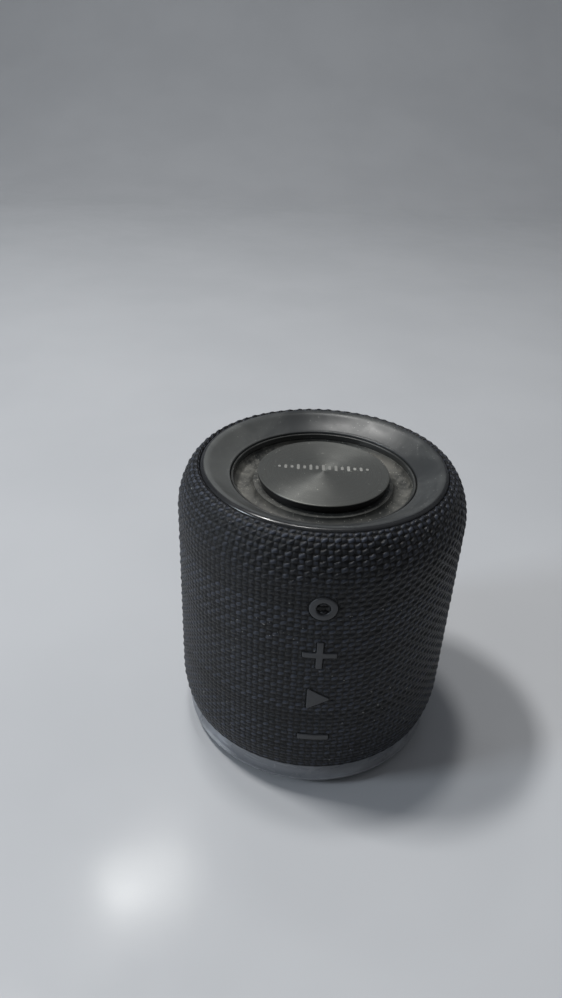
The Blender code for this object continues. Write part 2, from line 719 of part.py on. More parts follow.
def make_sockets():
    steel = material("socket_steel", (0.5, 0.5, 0.5), 0.3, 1.0)
    plastic = material("socket_plastic", (0.03, 0.03, 0.03), 0.5)
    back = MAIN_BOARD_BACK + GAP
    face = RECESS_FLOOR - 0.1 * MM
    past_face = face + 5 * MM

    plug = rectangle(3.9 * MM, 1.1 * MM)
    shell = shifted(grown(plug, 0.5 * MM), *USB_PLACE)
    inside = shifted(grown(plug, 0.2 * MM), *USB_PLACE)
    tongue_outline = shifted(rectangle(3.2 * MM, 0.35 * MM), *USB_PLACE)
    usb = prism("usb_c_port", shell, back, face, steel, along="Y")
    mouth = prism("mouth", inside, back + 0.8 * MM, past_face, along="Y")
    tongue = prism("tongue", tongue_outline, back, face - 0.6 * MM, along="Y")
    cut(usb, cut(mouth, tongue))

    across, up = AUX_PLACE
    centre = (across, 0, up)
    low = (across - 3.6 * MM, back, up - 3.4 * MM)
    high = (across + 3.6 * MM, face - 1.6 * MM, up + 3.4 * MM)
    jack = box("aux_jack", low, high, plastic)
    join(jack, rod("barrel", 3.05 * MM, back + 1 * MM, face, along="Y", place=centre))
    cut(jack, rod("bore", 1.8 * MM, back + 0.8 * MM, past_face, along="Y", place=centre))

    case = shifted(rectangle(5.9 * MM, 0.7 * MM), *CARD_PLACE)
    card = shifted(rectangle(5.5 * MM, 0.35 * MM), *CARD_PLACE)
    slot = prism("card_slot", case, back, face, steel, along="Y")
    cut(slot, prism("mouth", card, back + 0.6 * MM, past_face, along="Y"))


def make_boards():
    mask = material("board_mask", (0.01, 0.04, 0.06), 0.4)
    epoxy = material("chip_epoxy", (0.015, 0.015, 0.015), 0.5)
    can = material("shield_can", (0.55, 0.55, 0.55), 0.3, 1.0)
    outline = shifted(grown(rectangle(16 * MM, 28 * MM), 1 * MM), 0, 41 * MM)
    inner_face = MAIN_BOARD_BACK - BOARD_THICKNESS
    board = prism("main_board", outline, inner_face, MAIN_BOARD_BACK, mask, along="Y")
    for across in (-14.5 * MM, 14.5 * MM):
        for up in (15 * MM, 67 * MM):
            place = (across, 0, up)
            hole = rod("hole", 1.2 * MM, 25 * MM, 40 * MM, along="Y", place=place, segments=HOLE_SEGMENTS)
            cut(board, hole)
    seat = MAIN_BOARD_BACK + GAP
    low = (-4 * MM, seat, 34 * MM)
    high = (4 * MM, seat + 1.0 * MM, 42 * MM)
    box("amplifier_chip", low, high, epoxy, rounding=0.2 * MM)
    low = (-8 * MM, seat, 48 * MM)
    high = (6 * MM, seat + 2.2 * MM, 60 * MM)
    box("bluetooth_module", low, high, can, rounding=0.4 * MM)


def make_battery():
    wrap = material("battery_wrap", (0.05, 0.15, 0.4), 0.3)
    plastic = material("holder_plastic", (0.08, 0.08, 0.08), 0.6)
    cell_radius = 9.1 * MM
    cell_low = 9.2 * MM
    cell_high = cell_low + 65 * MM
    outline = [
        (0, cell_low), (cell_radius - 0.4 * MM, cell_low), (cell_radius, cell_low + 0.4 * MM),
        (cell_radius, cell_high - 1.4 * MM), (cell_radius - 0.4 * MM, cell_high - 1.0 * MM),
        (3.0 * MM, cell_high - 1.0 * MM), (3.0 * MM, cell_high), (0, cell_high),
    ]
    turned("battery_cell", outline, wrap, segments=INNER_SEGMENTS)

    inner = cell_radius + GAP
    outer = inner + 1.2 * MM
    half_open = 35
    cradle = arc((0, 0), outer, outer, -90 + half_open, 270 - half_open, 12)
    cradle += arc((0, 0), inner, inner, 270 - half_open, -90 + half_open, 12)
    holder_low = CABINET_BOTTOM + CABINET_WALL + GAP
    holder = prism("battery_holder", cradle, holder_low, 70 * MM, plastic)
    shelf = rod("shelf", outer, holder_low, cell_low - GAP, segments=INNER_SEGMENTS)
    join(holder, shelf)


def make_leads():
    """The battery's lead through the cabinet's back wall, and the flat cable between the boards."""
    sleeve = material("lead_sleeve", (0.3, 0.02, 0.02), 0.5)
    film = material("cable_film", (0.35, 0.3, 0.2), 0.4)
    start = Vector((2 * MM, 11.8 * MM, LEAD_HEIGHT - 2 * MM))
    end = Vector((LEAD_ACROSS, CABINET_FRONT, LEAD_HEIGHT))
    route = []
    for step in range(7):
        share = step / 6
        ease = math.sin(share * math.pi / 2)
        route.append(Vector((
            start.x + (end.x - start.x) * ease,
            start.y + (end.y - start.y) * share,
            start.z + (end.z - start.z) * ease,
        )))
    curve = bpy.data.curves.new("battery_lead", "CURVE")
    curve.dimensions = "3D"
    curve.bevel_depth = 0.6 * MM
    curve.bevel_resolution = 2
    curve.use_fill_caps = True
    spline = curve.splines.new("POLY")
    spline.points.add(len(route) - 1)
    for point, place in zip(spline.points, route):
        point.co = (*place, 1)
    curve.materials.append(sleeve)
    lead = bpy.data.objects.new("battery_lead", curve)
    bpy.context.scene.collection.objects.link(lead)

    low = 72.2 * MM
    high = 76.2 * MM
    bend_radius = 39.0 * MM
    half = 0.15 * MM
    front_end = [(4.6 * MM, -(BOARD_FRONT + GAP + half))]
    back_end = [(10 * MM, 32.6 * MM), (5 * MM, 31.2 * MM)]
    middle = arc((0, 0), bend_radius, bend_radius, -72, 62, 14)
    line = [Vector(point) for point in front_end + middle + back_end]
    left, right = [], []
    for index, here in enumerate(line):
        before = line[max(index - 1, 0)]
        after = line[min(index + 1, len(line) - 1)]
        along = (after - before).normalized()
        normal = Vector((-along.y, along.x))
        left.append(tuple(here + normal * half))
        right.append(tuple(here - normal * half))
    prism("ribbon_cable", right + left[::-1], low, high, film)


def lift_body():
    """Raises everything but the foot to its height above the table."""
    for obj in bpy.data.objects:
        if obj.name != "foot_ring":
            obj.location.z += BODY_LIFT


def main():
    for obj in list(bpy.data.objects):
        bpy.data.objects.remove(obj)
    make_sleeve()
    make_shell()
    make_bezel()
    make_base()
    make_screws()
    make_cabinet()
    make_radiator()
    make_drivers()
    make_buttons()
    make_switches()
    make_recess()
    make_port_cover()
    make_sockets()
    make_boards()
    make_battery()
    make_leads()
    lift_body()


main()
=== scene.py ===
"""The looks of a small portable speaker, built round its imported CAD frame. Metres, +Z up, front at -Y."""
import json
import math

import bmesh
import bpy
import numpy as np
from mathutils import Matrix, Vector


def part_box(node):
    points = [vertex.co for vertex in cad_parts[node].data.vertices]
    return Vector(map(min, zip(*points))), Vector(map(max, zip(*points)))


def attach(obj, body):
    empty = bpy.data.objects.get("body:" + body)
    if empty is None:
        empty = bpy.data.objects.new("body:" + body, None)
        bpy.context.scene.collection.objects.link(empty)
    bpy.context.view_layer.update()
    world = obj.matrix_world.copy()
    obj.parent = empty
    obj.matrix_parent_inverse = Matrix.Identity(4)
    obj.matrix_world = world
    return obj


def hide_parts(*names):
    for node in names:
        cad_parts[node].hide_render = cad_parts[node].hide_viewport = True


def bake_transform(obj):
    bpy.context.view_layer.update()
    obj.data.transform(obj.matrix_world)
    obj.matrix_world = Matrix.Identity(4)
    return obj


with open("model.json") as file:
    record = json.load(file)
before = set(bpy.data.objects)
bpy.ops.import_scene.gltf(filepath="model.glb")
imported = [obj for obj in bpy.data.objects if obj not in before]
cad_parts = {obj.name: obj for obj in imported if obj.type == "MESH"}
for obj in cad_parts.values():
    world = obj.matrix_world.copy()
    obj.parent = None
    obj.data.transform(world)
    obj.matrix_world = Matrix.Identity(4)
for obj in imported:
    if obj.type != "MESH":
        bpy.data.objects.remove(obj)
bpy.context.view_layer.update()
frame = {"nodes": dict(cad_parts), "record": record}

MM = 0.001
HOUSING = "housing"

# Read from the frame
SLEEVE_LOW, SLEEVE_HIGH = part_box("fabric_sleeve")
BEZEL_LOW, BEZEL_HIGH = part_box("top_bezel")
CAP_LOW, CAP_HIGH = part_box("radiator_cap")
BASE_LOW, BASE_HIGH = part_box("base_ring")
FOOT_LOW, FOOT_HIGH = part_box("foot_ring")
COVER_LOW, COVER_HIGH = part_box("port_cover")
RING_LOW, RING_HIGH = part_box("radiator_clamp_ring")
_, SURROUND_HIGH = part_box("radiator_surround")
BODY_RADIUS = SLEEVE_HIGH.x
BODY_TOP = 92.0 * MM
BEZEL_RADIUS = BEZEL_HIGH.x
CAP_RADIUS = CAP_HIGH.x

# The body's shoulder, as in the CAD
SHOULDER_HEIGHT = 13.3 * MM
SHOULDER_POWER = 1.154

# The side draws in to the hem, as in the CAD
HEM_RADIUS = 40.9 * MM
HEM_START = 19.0 * MM

# The weave
WARP_COUNT = 144
WEFT_PITCH = 1.5 * MM
SAMPLES = 3
YARN_RISE = 0.16 * MM
YARN_ROUND = 0.31 * MM
WEFT_TILT = 0.42
SLEEVE_THICKNESS = 0.92 * MM

# Buttons: the radius of their faces from the body's axis, and the height of each one's centre
BUTTON_FACE = 42.75 * MM
POWER_HEIGHT = 72.2 * MM
PLUS_HEIGHT = 56.3 * MM
PLAY_HEIGHT = 40.2 * MM
MINUS_HEIGHT = 24.8 * MM

# The window in the cloth for the sockets at the back
RECESS_HALF_WIDTH = 15.7 * MM
RECESS_LOW = 16.6 * MM
RECESS_HIGH = 31.4 * MM

rng = np.random.default_rng(7)


# Meshes -------------------------------------------------------------------------


def mesh_from(name, points, faces):
    mesh = bpy.data.meshes.new(name)
    mesh.from_pydata([tuple(p) for p in points], [], [tuple(f) for f in faces])
    mesh.update()
    return mesh


def object_from(name, mesh, look, slot, body=HOUSING, replaces=(), sharp=40):
    mesh.shade_smooth()
    if sharp:
        mesh.set_sharp_from_angle(angle=math.radians(sharp))
    obj = bpy.data.objects.new(name, mesh)
    bpy.context.scene.collection.objects.link(obj)
    if look:
        mesh.materials.clear()
        mesh.materials.append(look)
    if body:
        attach(obj, body)
    if replaces:
        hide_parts(*replaces)
    return obj


def from_bmesh(name, bm, *args, **kwargs):
    bmesh.ops.recalc_face_normals(bm, faces=bm.faces)
    mesh = bpy.data.meshes.new(name)
    bm.to_mesh(mesh)
    bm.free()
    return object_from(name, mesh, *args, **kwargs)


def lathe_bmesh(outline, segments):
    """A closed outline of (radius, height) points turned round Z."""
    bm = bmesh.new()
    rings = []
    angles = np.arange(segments) * (math.tau / segments)
    for radius, height in outline:
        if radius < 1e-7:
            rings.append([bm.verts.new((0, 0, height))] * segments)
        else:
            places = [(radius * math.sin(a), -radius * math.cos(a), height) for a in angles]
            rings.append([bm.verts.new(place) for place in places])
    count = len(rings)
    for index in range(count):
        here, following = rings[index], rings[(index + 1) % count]
        if here[0] is here[1] and following[0] is following[1]:
            continue
        for k in range(segments):
            corners = [here[k], here[(k + 1) % segments], following[(k + 1) % segments], following[k]]
            corners = [c for i, c in enumerate(corners) if c not in corners[:i]]
            bm.faces.new(corners)
    return bm


def turned(name, outline, segments, look, slot, node, body=HOUSING, sharp=40):
    """A piece turned round Z, in place of one CAD node."""
    bm = lathe_bmesh(outline, segments)
    return from_bmesh(name, bm, look, slot, body=body, replaces=(node,), sharp=sharp)


def arc(centre, radius_a, radius_b, start, end, steps):
    angles = np.radians(np.linspace(start, end, steps + 1))
    return [(centre[0] + radius_a * math.cos(a), centre[1] + radius_b * math.sin(a)) for a in angles]


def rounded(outline, radius, steps=4):
    """A closed 2D outline with every corner rounded by an arc."""
    result = []
    count = len(outline)
    for index in range(count):
        here = Vector(outline[index])
        before = (Vector(outline[index - 1]) - here).normalized()
        after = (Vector(outline[(index + 1) % count]) - here).normalized()
        half = before.angle(after) / 2
        reach = radius / math.tan(half)
        centre = here + (before + after).normalized() * (radius / math.sin(half))
        first = here + before * reach - centre
        turn = first.angle_signed(here + after * reach - centre)
        for step in range(steps + 1):
            spin = Matrix.Rotation(-turn * step / steps, 2)
            result.append(tuple(centre + spin @ first))
    return result


# Materials ----------------------------------------------------------------------


class Look:
    """A Principled material with short calls for the nodes that drive it."""

    def __init__(self, name, colour=(0.5, 0.5, 0.5), roughness=0.5, metallic=0.0, **sockets):
        self.material = bpy.data.materials.new(name)
        self.material.use_nodes = True
        self.tree = self.material.node_tree
        self.shader = self.tree.nodes["Principled BSDF"]
        self.set(self.shader, "Base Color", (*colour, 1.0))
        self.set(self.shader, "Roughness", roughness)
        self.set(self.shader, "Metallic", metallic)
        for socket, value in sockets.items():
            self.set(self.shader, socket.replace("_", " "), value)

    def set(self, node, socket, value):
        if isinstance(value, bpy.types.NodeSocket):
            self.tree.links.new(value, node.inputs[socket])
        else:
            node.inputs[socket].default_value = value

    def node(self, kind, output=0, properties=None, **inputs):
        made = self.tree.nodes.new(kind)
        for key, value in (properties or {}).items():
            setattr(made, key, value)
        for key, value in inputs.items():
            numbered = key[0] == "i" and key[1:].isdigit()
            self.set(made, int(key[1:]) if numbered else key.replace("_", " "), value)
        return made.outputs[output]

    def position(self, scale=(1, 1, 1)):
        place = self.node("ShaderNodeTexCoord", "Object")
        return self.node("ShaderNodeMapping", Vector=place, Scale=scale)

    def noise(self, scale, detail=3.0, roughness=0.5, vector=None, distortion=0.0):
        return self.node(
            "ShaderNodeTexNoise",
            "Fac",
            Vector=vector or self.position(),
            Scale=scale,
            Detail=detail,
            Roughness=roughness,
            Distortion=distortion,
        )

    def ramp(self, factor, low, high, dark=0.0, light=1.0):
        """factor remapped from low..high to dark..light, clamped and smooth."""
        made = self.tree.nodes.new("ShaderNodeMapRange")
        made.interpolation_type = "SMOOTHSTEP"
        for index, value in enumerate((factor, low, high, dark, light)):
            self.set(made, index, value)
        return made.outputs["Result"]

    def maths(self, operation, first, second=0.0, third=0.0):
        return self.node("ShaderNodeMath", 0, {"operation": operation}, i0=first, i1=second, i2=third)

    def plus(self, first, second):
        return self.maths("ADD", first, second)

    def times(self, first, second):
        return self.maths("MULTIPLY", first, second)

    def axes(self):
        """The X, Y and Z of a place on the piece."""
        split = self.tree.nodes.new("ShaderNodeSeparateXYZ")
        self.tree.links.new(self.node("ShaderNodeTexCoord", "Object"), split.inputs[0])
        return split.outputs["X"], split.outputs["Y"], split.outputs["Z"]

    def radius(self, x, y):
        """How far a place is from the speaker's upright axis."""
        return self.maths("SQRT", self.plus(self.maths("POWER", x, 2.0), self.maths("POWER", y, 2.0)))

    def mix(self, factor, first, second):
        """A colour between first and second."""
        made = self.tree.nodes.new("ShaderNodeMix")
        made.data_type = "RGBA"
        self.set(made, 0, factor)
        self.set(made, 6, first if isinstance(first, bpy.types.NodeSocket) else (*first, 1.0))
        self.set(made, 7, second if isinstance(second, bpy.types.NodeSocket) else (*second, 1.0))
        return made.outputs[2]

    def attribute(self, name):
        return self.node("ShaderNodeAttribute", "Fac", {"attribute_name": name})

    def bump(self, height, strength, distance, normal=None):
        inputs = {"Height": height, "Strength": strength, "Distance": distance}
        if normal is not None:
            inputs["Normal"] = normal
        return self.node("ShaderNodeBump", 0, None, **inputs)

    def use(self, **sockets):
        for socket, value in sockets.items():
            self.set(self.shader, socket.replace("_", " "), value)
        return self.material


def thread_round(look, offset, half_width):
    """How high a round thread stands at an offset from its middle: 1 there, 0 from half_width outwards."""
    share = look.maths("DIVIDE", offset, half_width)
    fallen = look.maths("MULTIPLY_ADD", look.maths("POWER", share, 2.0), -1.0, 1.0)
    return look.maths("SQRT", look.maths("MAXIMUM", fallen, 0.0))


def woven_look(name="woven_yarn", brightness=1.0):
    """Black plied yarn: round floats, painted shade in the valleys and on the sides of the floats, fine
    fibres, threads that differ and a little lint.
    """
    look = Look(name, roughness=0.6)
    over = look.attribute("weft_over")
    thread = look.attribute("thread_tone")
    height = look.attribute("yarn_height")
    column = look.plus(look.attribute("along_u"), 0.001)
    row = look.plus(look.attribute("along_v"), 0.001)
    across = look.maths("SUBTRACT", look.maths("FRACT", column), 0.5)
    up = look.maths("SUBTRACT", look.maths("FRACT", row), 0.5)
    cell = look.plus(look.maths("FLOOR", column), look.maths("FLOOR", row))
    weft_cell = look.maths("FLOORED_MODULO", cell, 2.0)
    wander = look.maths("MULTIPLY_ADD", look.noise(700, 1.0, 0.5), 0.3, -0.15)
    tilted = look.plus(look.maths("MULTIPLY_ADD", across, -WEFT_TILT, up), wander)
    along_weft = look.maths("COSINE", look.times(across, math.pi * 0.82))
    along_warp = look.maths("COSINE", look.times(up, math.pi * 0.9))
    float_weft = look.times(thread_round(look, tilted, 0.42), along_weft)
    float_warp = look.times(thread_round(look, across, 0.36), look.times(along_warp, 0.75))
    yarn_round = look.node(
        "ShaderNodeMix", 0, {"data_type": "FLOAT"}, i0=weft_cell, i2=float_warp, i3=float_weft
    )
    weft_place = look.node("ShaderNodeCombineXYZ", X=look.times(column, 2.6), Y=look.times(row, 13.0))
    warp_place = look.node("ShaderNodeCombineXYZ", X=look.times(column, 16.0), Y=look.times(row, 2.1))
    place = look.node("ShaderNodeMix", 1, {"data_type": "VECTOR"}, i0=over, i4=warp_place, i5=weft_place)
    fibre = look.noise(1.0, 2.0, 0.6, vector=place)
    blotch = look.noise(38, 3.0, 0.55)
    tone = look.maths("MULTIPLY_ADD", thread, 0.45, look.times(fibre, 0.75))
    tone = look.maths("MULTIPLY_ADD", blotch, 0.35, tone)
    dark = tuple(brightness * c for c in (0.0045, 0.0050, 0.0058))
    pale = tuple(brightness * c for c in (0.060, 0.070, 0.098))
    valley_shade = tuple(brightness * c for c in (0.0022, 0.0024, 0.0027))
    yarn = look.mix(look.ramp(tone, 0.4, 1.35), dark, pale)
    # Painted shade: near black in the valleys between floats and on the sides of the floats, more so on the
    # lower warp floats, and darker still where the yarn sits low
    yarn = look.mix(look.ramp(yarn_round, 0.05, 0.7), valley_shade, yarn)
    yarn = look.mix(look.ramp(height, 0.15, 0.7), (0.0015, 0.0016, 0.0018), yarn)
    speck = look.noise(900, 1.0, 0.5)
    gather = look.noise(60, 2.0, 0.5)
    lint = look.times(look.ramp(speck, 0.73, 0.77), look.ramp(gather, 0.54, 0.61))
    yarn = look.mix(look.times(lint, 0.75), yarn, (0.36, 0.36, 0.35))
    relief = look.bump(yarn_round, 0.85, 0.00030)
    normal = look.bump(fibre, 0.4, 0.00008, relief)
    return look.use(
        Base_Color=yarn,
        Roughness=look.ramp(fibre, 0.3, 0.7, 0.36, 0.6),
        Normal=normal,
        Sheen_Weight=0.03,
        Sheen_Roughness=0.4,
        Specular_IOR_Level=0.36,
    )


def satin_look(name, colour, roughness=0.3, smudge=0.25, dust=0.0, grain=0.00002, **sockets):
    """Moulded plastic: a very fine grain, finger smudges in the gloss, hair scratches and a little dust."""
    look = Look(name, colour, roughness, **sockets)
    smears = look.noise(55, 4.0, 0.6, vector=look.position((1, 1, 2.5)), distortion=0.6)
    fine = look.noise(2600, 2.0, 0.5)
    streak = look.noise(420, 2.0, 0.5, vector=look.position((1, 0.12, 1)))
    gloss = look.ramp(smears, 0.35, 0.72, roughness, roughness + smudge)
    gloss = look.plus(gloss, look.ramp(streak, 0.68, 0.74, 0.0, 0.12))
    shade = look.mix(look.ramp(smears, 0.45, 0.8), colour, tuple(c * 1.7 + 0.006 for c in colour))
    if dust:
        specks = look.ramp(look.noise(1500, 1.0, 0.5), 0.7, 0.76)
        specks = look.times(specks, look.ramp(smears, 0.3, 0.6))
        shade = look.mix(look.times(specks, dust), shade, (0.4, 0.41, 0.38))
    return look.use(Base_Color=shade, Roughness=gloss, Normal=look.bump(fine, 0.25, grain))


def rubber_look(name, colour, roughness=0.6, dust=0.0, grain=0.00005):
    """Rubber with a fine grain, patches of tone and gloss, and a patchy film of dust where dust is given."""
    look = Look(name, colour, roughness)
    fine = look.noise(1900, 3.0, 0.6)
    patch = look.noise(140, 3.0, 0.6)
    darker, lighter = tuple(c * 0.75 for c in colour), tuple(c * 1.3 for c in colour)
    shade = look.mix(look.ramp(patch, 0.3, 0.75), darker, lighter)
    if dust:
        film = look.times(look.ramp(look.noise(260, 4.0, 0.7), 0.42, 0.7), dust)
        shade = look.mix(film, shade, (0.3, 0.31, 0.28))
    gloss = look.ramp(patch, 0.3, 0.8, roughness - 0.08, roughness + 0.12)
    return look.use(Base_Color=shade, Roughness=gloss, Normal=look.bump(fine, 0.3, grain))


def metal_look(name, colour, roughness=0.35, scratch=0.15):
    """Bare metal with soft patches and long fine scratches."""
    look = Look(name, colour, roughness, 1.0)
    streak = look.noise(700, 2.0, 0.6, vector=look.position((1, 0.08, 0.4)))
    patch = look.noise(200, 3.0, 0.5)
    shade = look.mix(look.ramp(patch, 0.3, 0.8), tuple(c * 0.8 for c in colour), colour)
    gloss = look.ramp(streak, 0.3, 0.75, roughness, roughness + scratch)
    return look.use(Base_Color=shade, Roughness=gloss, Normal=look.bump(streak, 0.2, 0.00003))


def dust_and_light_surround_look():
    """Matt rubber under a pale film of dust that gathers in the roll's trough and at its outer edge, laid on
    heavier towards the left as painted light on the lit side.
    """
    look = Look("dusty_rubber_left_lit", (0.03, 0.031, 0.03), 0.75)
    across, depth, _ = look.axes()
    radius = look.radius(across, depth)
    fine = look.noise(420, 5.0, 0.7)
    cloud = look.noise(85, 4.0, 0.6, distortion=0.5)
    grit = look.ramp(look.noise(1700, 1.0, 0.5), 0.66, 0.74)
    # The film is weighted heavier towards the left and thinner on the right: painted light on the lit left
    # side, over the real dust
    left_dust_and_light = look.ramp(across, -20 * MM, -6 * MM, 1.0, 0.35)
    right_side = look.ramp(across, 6 * MM, 20 * MM, 0.0, 0.25)
    sides = look.plus(left_dust_and_light, right_side)
    outer = look.ramp(radius, 20.5 * MM, 25.0 * MM, 0.45, 1.0)
    gathered = look.maths("MULTIPLY_ADD", fine, 0.5, look.times(cloud, 0.6))
    film = look.times(look.ramp(gathered, 0.38, 0.72), sides)
    film = look.times(film, outer)
    shade = look.mix(look.times(film, 0.85), (0.030, 0.032, 0.031), (0.28, 0.275, 0.25))
    shade = look.mix(look.times(grit, 0.45), shade, (0.5, 0.5, 0.45))
    return look.use(
        Base_Color=shade,
        Roughness=look.ramp(film, 0.0, 0.8, 0.5, 0.95),
        Normal=look.bump(look.plus(fine, grit), 0.35, 0.00006),
    )


def spun_look():
    """Dark anodised metal turned on a lathe: fine rings that spread each light into a wedge."""
    look = Look("spun_cap", (0.13, 0.132, 0.125), 0.4, 0.6, Anisotropic=0.72, Anisotropic_Rotation=0.25)
    x, y, height = look.axes()
    turns = look.times(look.radius(x, y), 9000)
    rings = look.node(
        "ShaderNodeTexNoise", "Fac", {"noise_dimensions": "1D"}, W=turns, Scale=1.0, Detail=3.0
    )
    cloud = look.noise(120, 4.0, 0.6)
    grit = look.times(look.ramp(look.noise(1300, 1.0, 0.5), 0.7, 0.75), look.ramp(cloud, 0.35, 0.6))
    shade = look.mix(look.ramp(rings, 0.3, 0.7), (0.10, 0.103, 0.097), (0.19, 0.193, 0.183))
    shade = look.mix(look.times(grit, 0.5), shade, (0.55, 0.55, 0.5))
    # Painted shade: below the top face the bevel and the side turn near black
    face = look.ramp(height, CAP_HIGH.z - 0.4 * MM, CAP_HIGH.z - 0.12 * MM)
    shade = look.mix(face, (0.018, 0.018, 0.019), shade)
    gloss = look.ramp(cloud, 0.3, 0.75, 0.38, 0.52)
    tangent = look.node("ShaderNodeTangent", 0, {"direction_type": "RADIAL", "axis": "Z"})
    relief = look.bump(rings, 0.16, 0.00004)
    return look.use(Base_Color=shade, Roughness=gloss, Tangent=tangent, Normal=relief)


# The woven sleeve -----------------------------------------------------------------


def side_radius(height):
    """The body's radius on its side, drawn in towards the hem."""
    share = max(HEM_START - height, 0) / (HEM_START - SLEEVE_LOW.z)
    return BODY_RADIUS - (BODY_RADIUS - HEM_RADIUS) * share ** 2


def sleeve_profile():
    """The sleeve's outer line in (radius, height), from its tucked lower edge to its tucked top edge."""
    fold = 0.8 * MM
    low = SLEEVE_LOW.z + 0.05 * MM
    points = arc((side_radius(low + fold) - fold, low + fold), fold, fold, -80, 0, 8)
    points += [(side_radius(z), z) for z in np.linspace(low + 2 * fold, BODY_TOP - SHOULDER_HEIGHT, 60)[:-1]]
    rise = BODY_RADIUS - BEZEL_RADIUS
    turn = 0.5 * MM
    end = BEZEL_RADIUS + 0.22 * MM + turn
    for angle in np.linspace(math.pi / 2, 0.0, 80):
        radius = BEZEL_RADIUS + rise * math.sin(angle) ** SHOULDER_POWER
        if radius < end:
            break
        points.append((radius, BODY_TOP - SHOULDER_HEIGHT * (1 - max(math.cos(angle), 0) ** SHOULDER_POWER)))
    last = points[-1]
    points += arc((last[0], last[1] - turn), turn, turn, 95, 180, 8)[1:]
    points.append((last[0] - turn, last[1] - turn - 1.0 * MM))
    return np.array(points)


def resample(points, step):
    """Points at even spacing near step along a polyline, with the arc length of each."""
    gaps = np.linalg.norm(np.diff(points, axis=0), axis=1)
    length = np.concatenate([[0], np.cumsum(gaps)])
    count = int(round(length[-1] / step))
    places = np.linspace(0, length[-1], count + 1)
    return np.stack([np.interp(places, length, points[:, k]) for k in (0, 1)], 1), places


def weave(column, row, tone_u, tone_v):
    """Plain weave at a place counted in threads: height, which thread is on top, and that thread's tone."""
    warp_index, weft_index = np.floor(column), np.floor(row)
    across, up = column - warp_index - 0.5, row - weft_index - 0.5
    parity = np.where((warp_index + weft_index) % 2 == 0, 1.0, -1.0)
    i = warp_index.astype(int) % len(tone_u)
    j = weft_index.astype(int) % len(tone_v)
    plump = 1 + 0.16 * np.sin(12.9898 * i + 78.233 * j) * np.sin(4.1 * i - 7.7 * j)
    warp_round = np.sqrt(np.clip(1 - (across / 0.42) ** 2, 0, 1))
    warp = YARN_RISE * parity * np.cos(math.pi * up) + 0.75 * YARN_ROUND * warp_round
    tilted = up - WEFT_TILT * across * (parity < 0)
    weft_round = np.sqrt(np.clip(1 - (tilted / 0.46) ** 2, 0, 1))
    weft = -YARN_RISE * parity * np.cos(math.pi * across) + YARN_ROUND * weft_round
    warp -= 0.12 * MM
    weft_over = weft > warp
    height = np.where(weft_over, weft, warp) * plump
    tone = np.where(weft_over, tone_v[j], tone_u[i])
    return height, weft_over.astype(float), tone


def symbols():
    """Each button's name, with its symbol's outline in (x, z) and the height of its centre."""
    arm, bar = 4.7 * MM, 0.9 * MM
    plus = [
        (bar, -arm), (bar, -bar), (arm, -bar), (arm, bar), (bar, bar), (bar, arm),
        (-bar, arm), (-bar, bar), (-arm, bar), (-arm, -bar), (-bar, -bar), (-bar, -arm),
    ]
    triangle = [(-2.6 * MM, -4.0 * MM), (4.1 * MM, 0), (-2.6 * MM, 4.0 * MM)]
    minus = [(-4.5 * MM, -1.0 * MM), (4.5 * MM, -1.0 * MM), (4.5 * MM, 1.0 * MM), (-4.5 * MM, 1.0 * MM)]
    return {
        "power": (arc((0, 0), 3.8 * MM, 3.8 * MM, 0, 352.5, 47), POWER_HEIGHT),
        "volume_up": (rounded(plus, 0.3 * MM), PLUS_HEIGHT),
        "play": (rounded(triangle, 0.45 * MM), PLAY_HEIGHT),
        "volume_down": (rounded(minus, 0.4 * MM), MINUS_HEIGHT),
    }


def offset_outline(outline, distance):
    """The outline moved outwards along the normals of its corners."""
    points = np.array(outline)
    along = np.roll(points, -1, 0) - np.roll(points, 1, 0)
    normal = np.stack([along[:, 1], -along[:, 0]], 1)
    normal /= np.linalg.norm(normal, axis=1)[:, None]
    return points + normal * distance


def distance_to(outline, places):
    """Distance from each (x, z) place to the outline's nearest side, negative inside."""
    points = np.array(outline)
    following = np.roll(points, -1, 0)
    best = np.full(len(places), 1.0)
    inside = np.zeros(len(places), bool)
    for first, second in zip(points, following):
        span = second - first
        share = np.clip(((places - first) @ span) / max(span @ span, 1e-18), 0, 1)
        best = np.minimum(best, np.linalg.norm(places - first - share[:, None] * span, axis=1))
        crosses = (first[1] > places[:, 1]) != (second[1] > places[:, 1])
        rise = second[1] - first[1]
        at = first[0] + (places[:, 1] - first[1]) * (span[0] / (rise if abs(rise) > 1e-12 else 1e-12))
        inside ^= crosses & (places[:, 0] < at)
    return np.where(inside, -best, best)


def prism_cutter(name, outline, near, far):
    """A closed prism between y = near and y = far, over an (x, z) outline."""
    count = len(outline)
    points = [(x, near, z) for x, z in outline] + [(x, far, z) for x, z in outline]
    faces = [tuple(range(count)), tuple(range(2 * count - 1, count - 1, -1))]
    faces += [(k, k + count, (k + 1) % count + count, (k + 1) % count) for k in range(count)]
    bm = bmesh.new()
    corners = [bm.verts.new(p) for p in points]
    for face in faces:
        bm.faces.new([corners[k] for k in face])
    bmesh.ops.recalc_face_normals(bm, faces=bm.faces)
    mesh = bpy.data.meshes.new(name)
    bm.to_mesh(mesh)
    bm.free()
    obj = bpy.data.objects.new(name, mesh)
    bpy.context.scene.collection.objects.link(obj)
    return obj


def cut_with(obj, cutter):
    modifier = obj.modifiers.new("cut", "BOOLEAN")
    modifier.operation = "DIFFERENCE"
    modifier.solver = "MANIFOLD"
    modifier.object = cutter
    graph = bpy.context.evaluated_depsgraph_get()
    evaluated = obj.evaluated_get(graph)
    result = bpy.data.meshes.new_from_object(evaluated, preserve_all_data_layers=True, depsgraph=graph)
    obj.modifiers.clear()
    obj.data = result
    bpy.data.objects.remove(cutter)


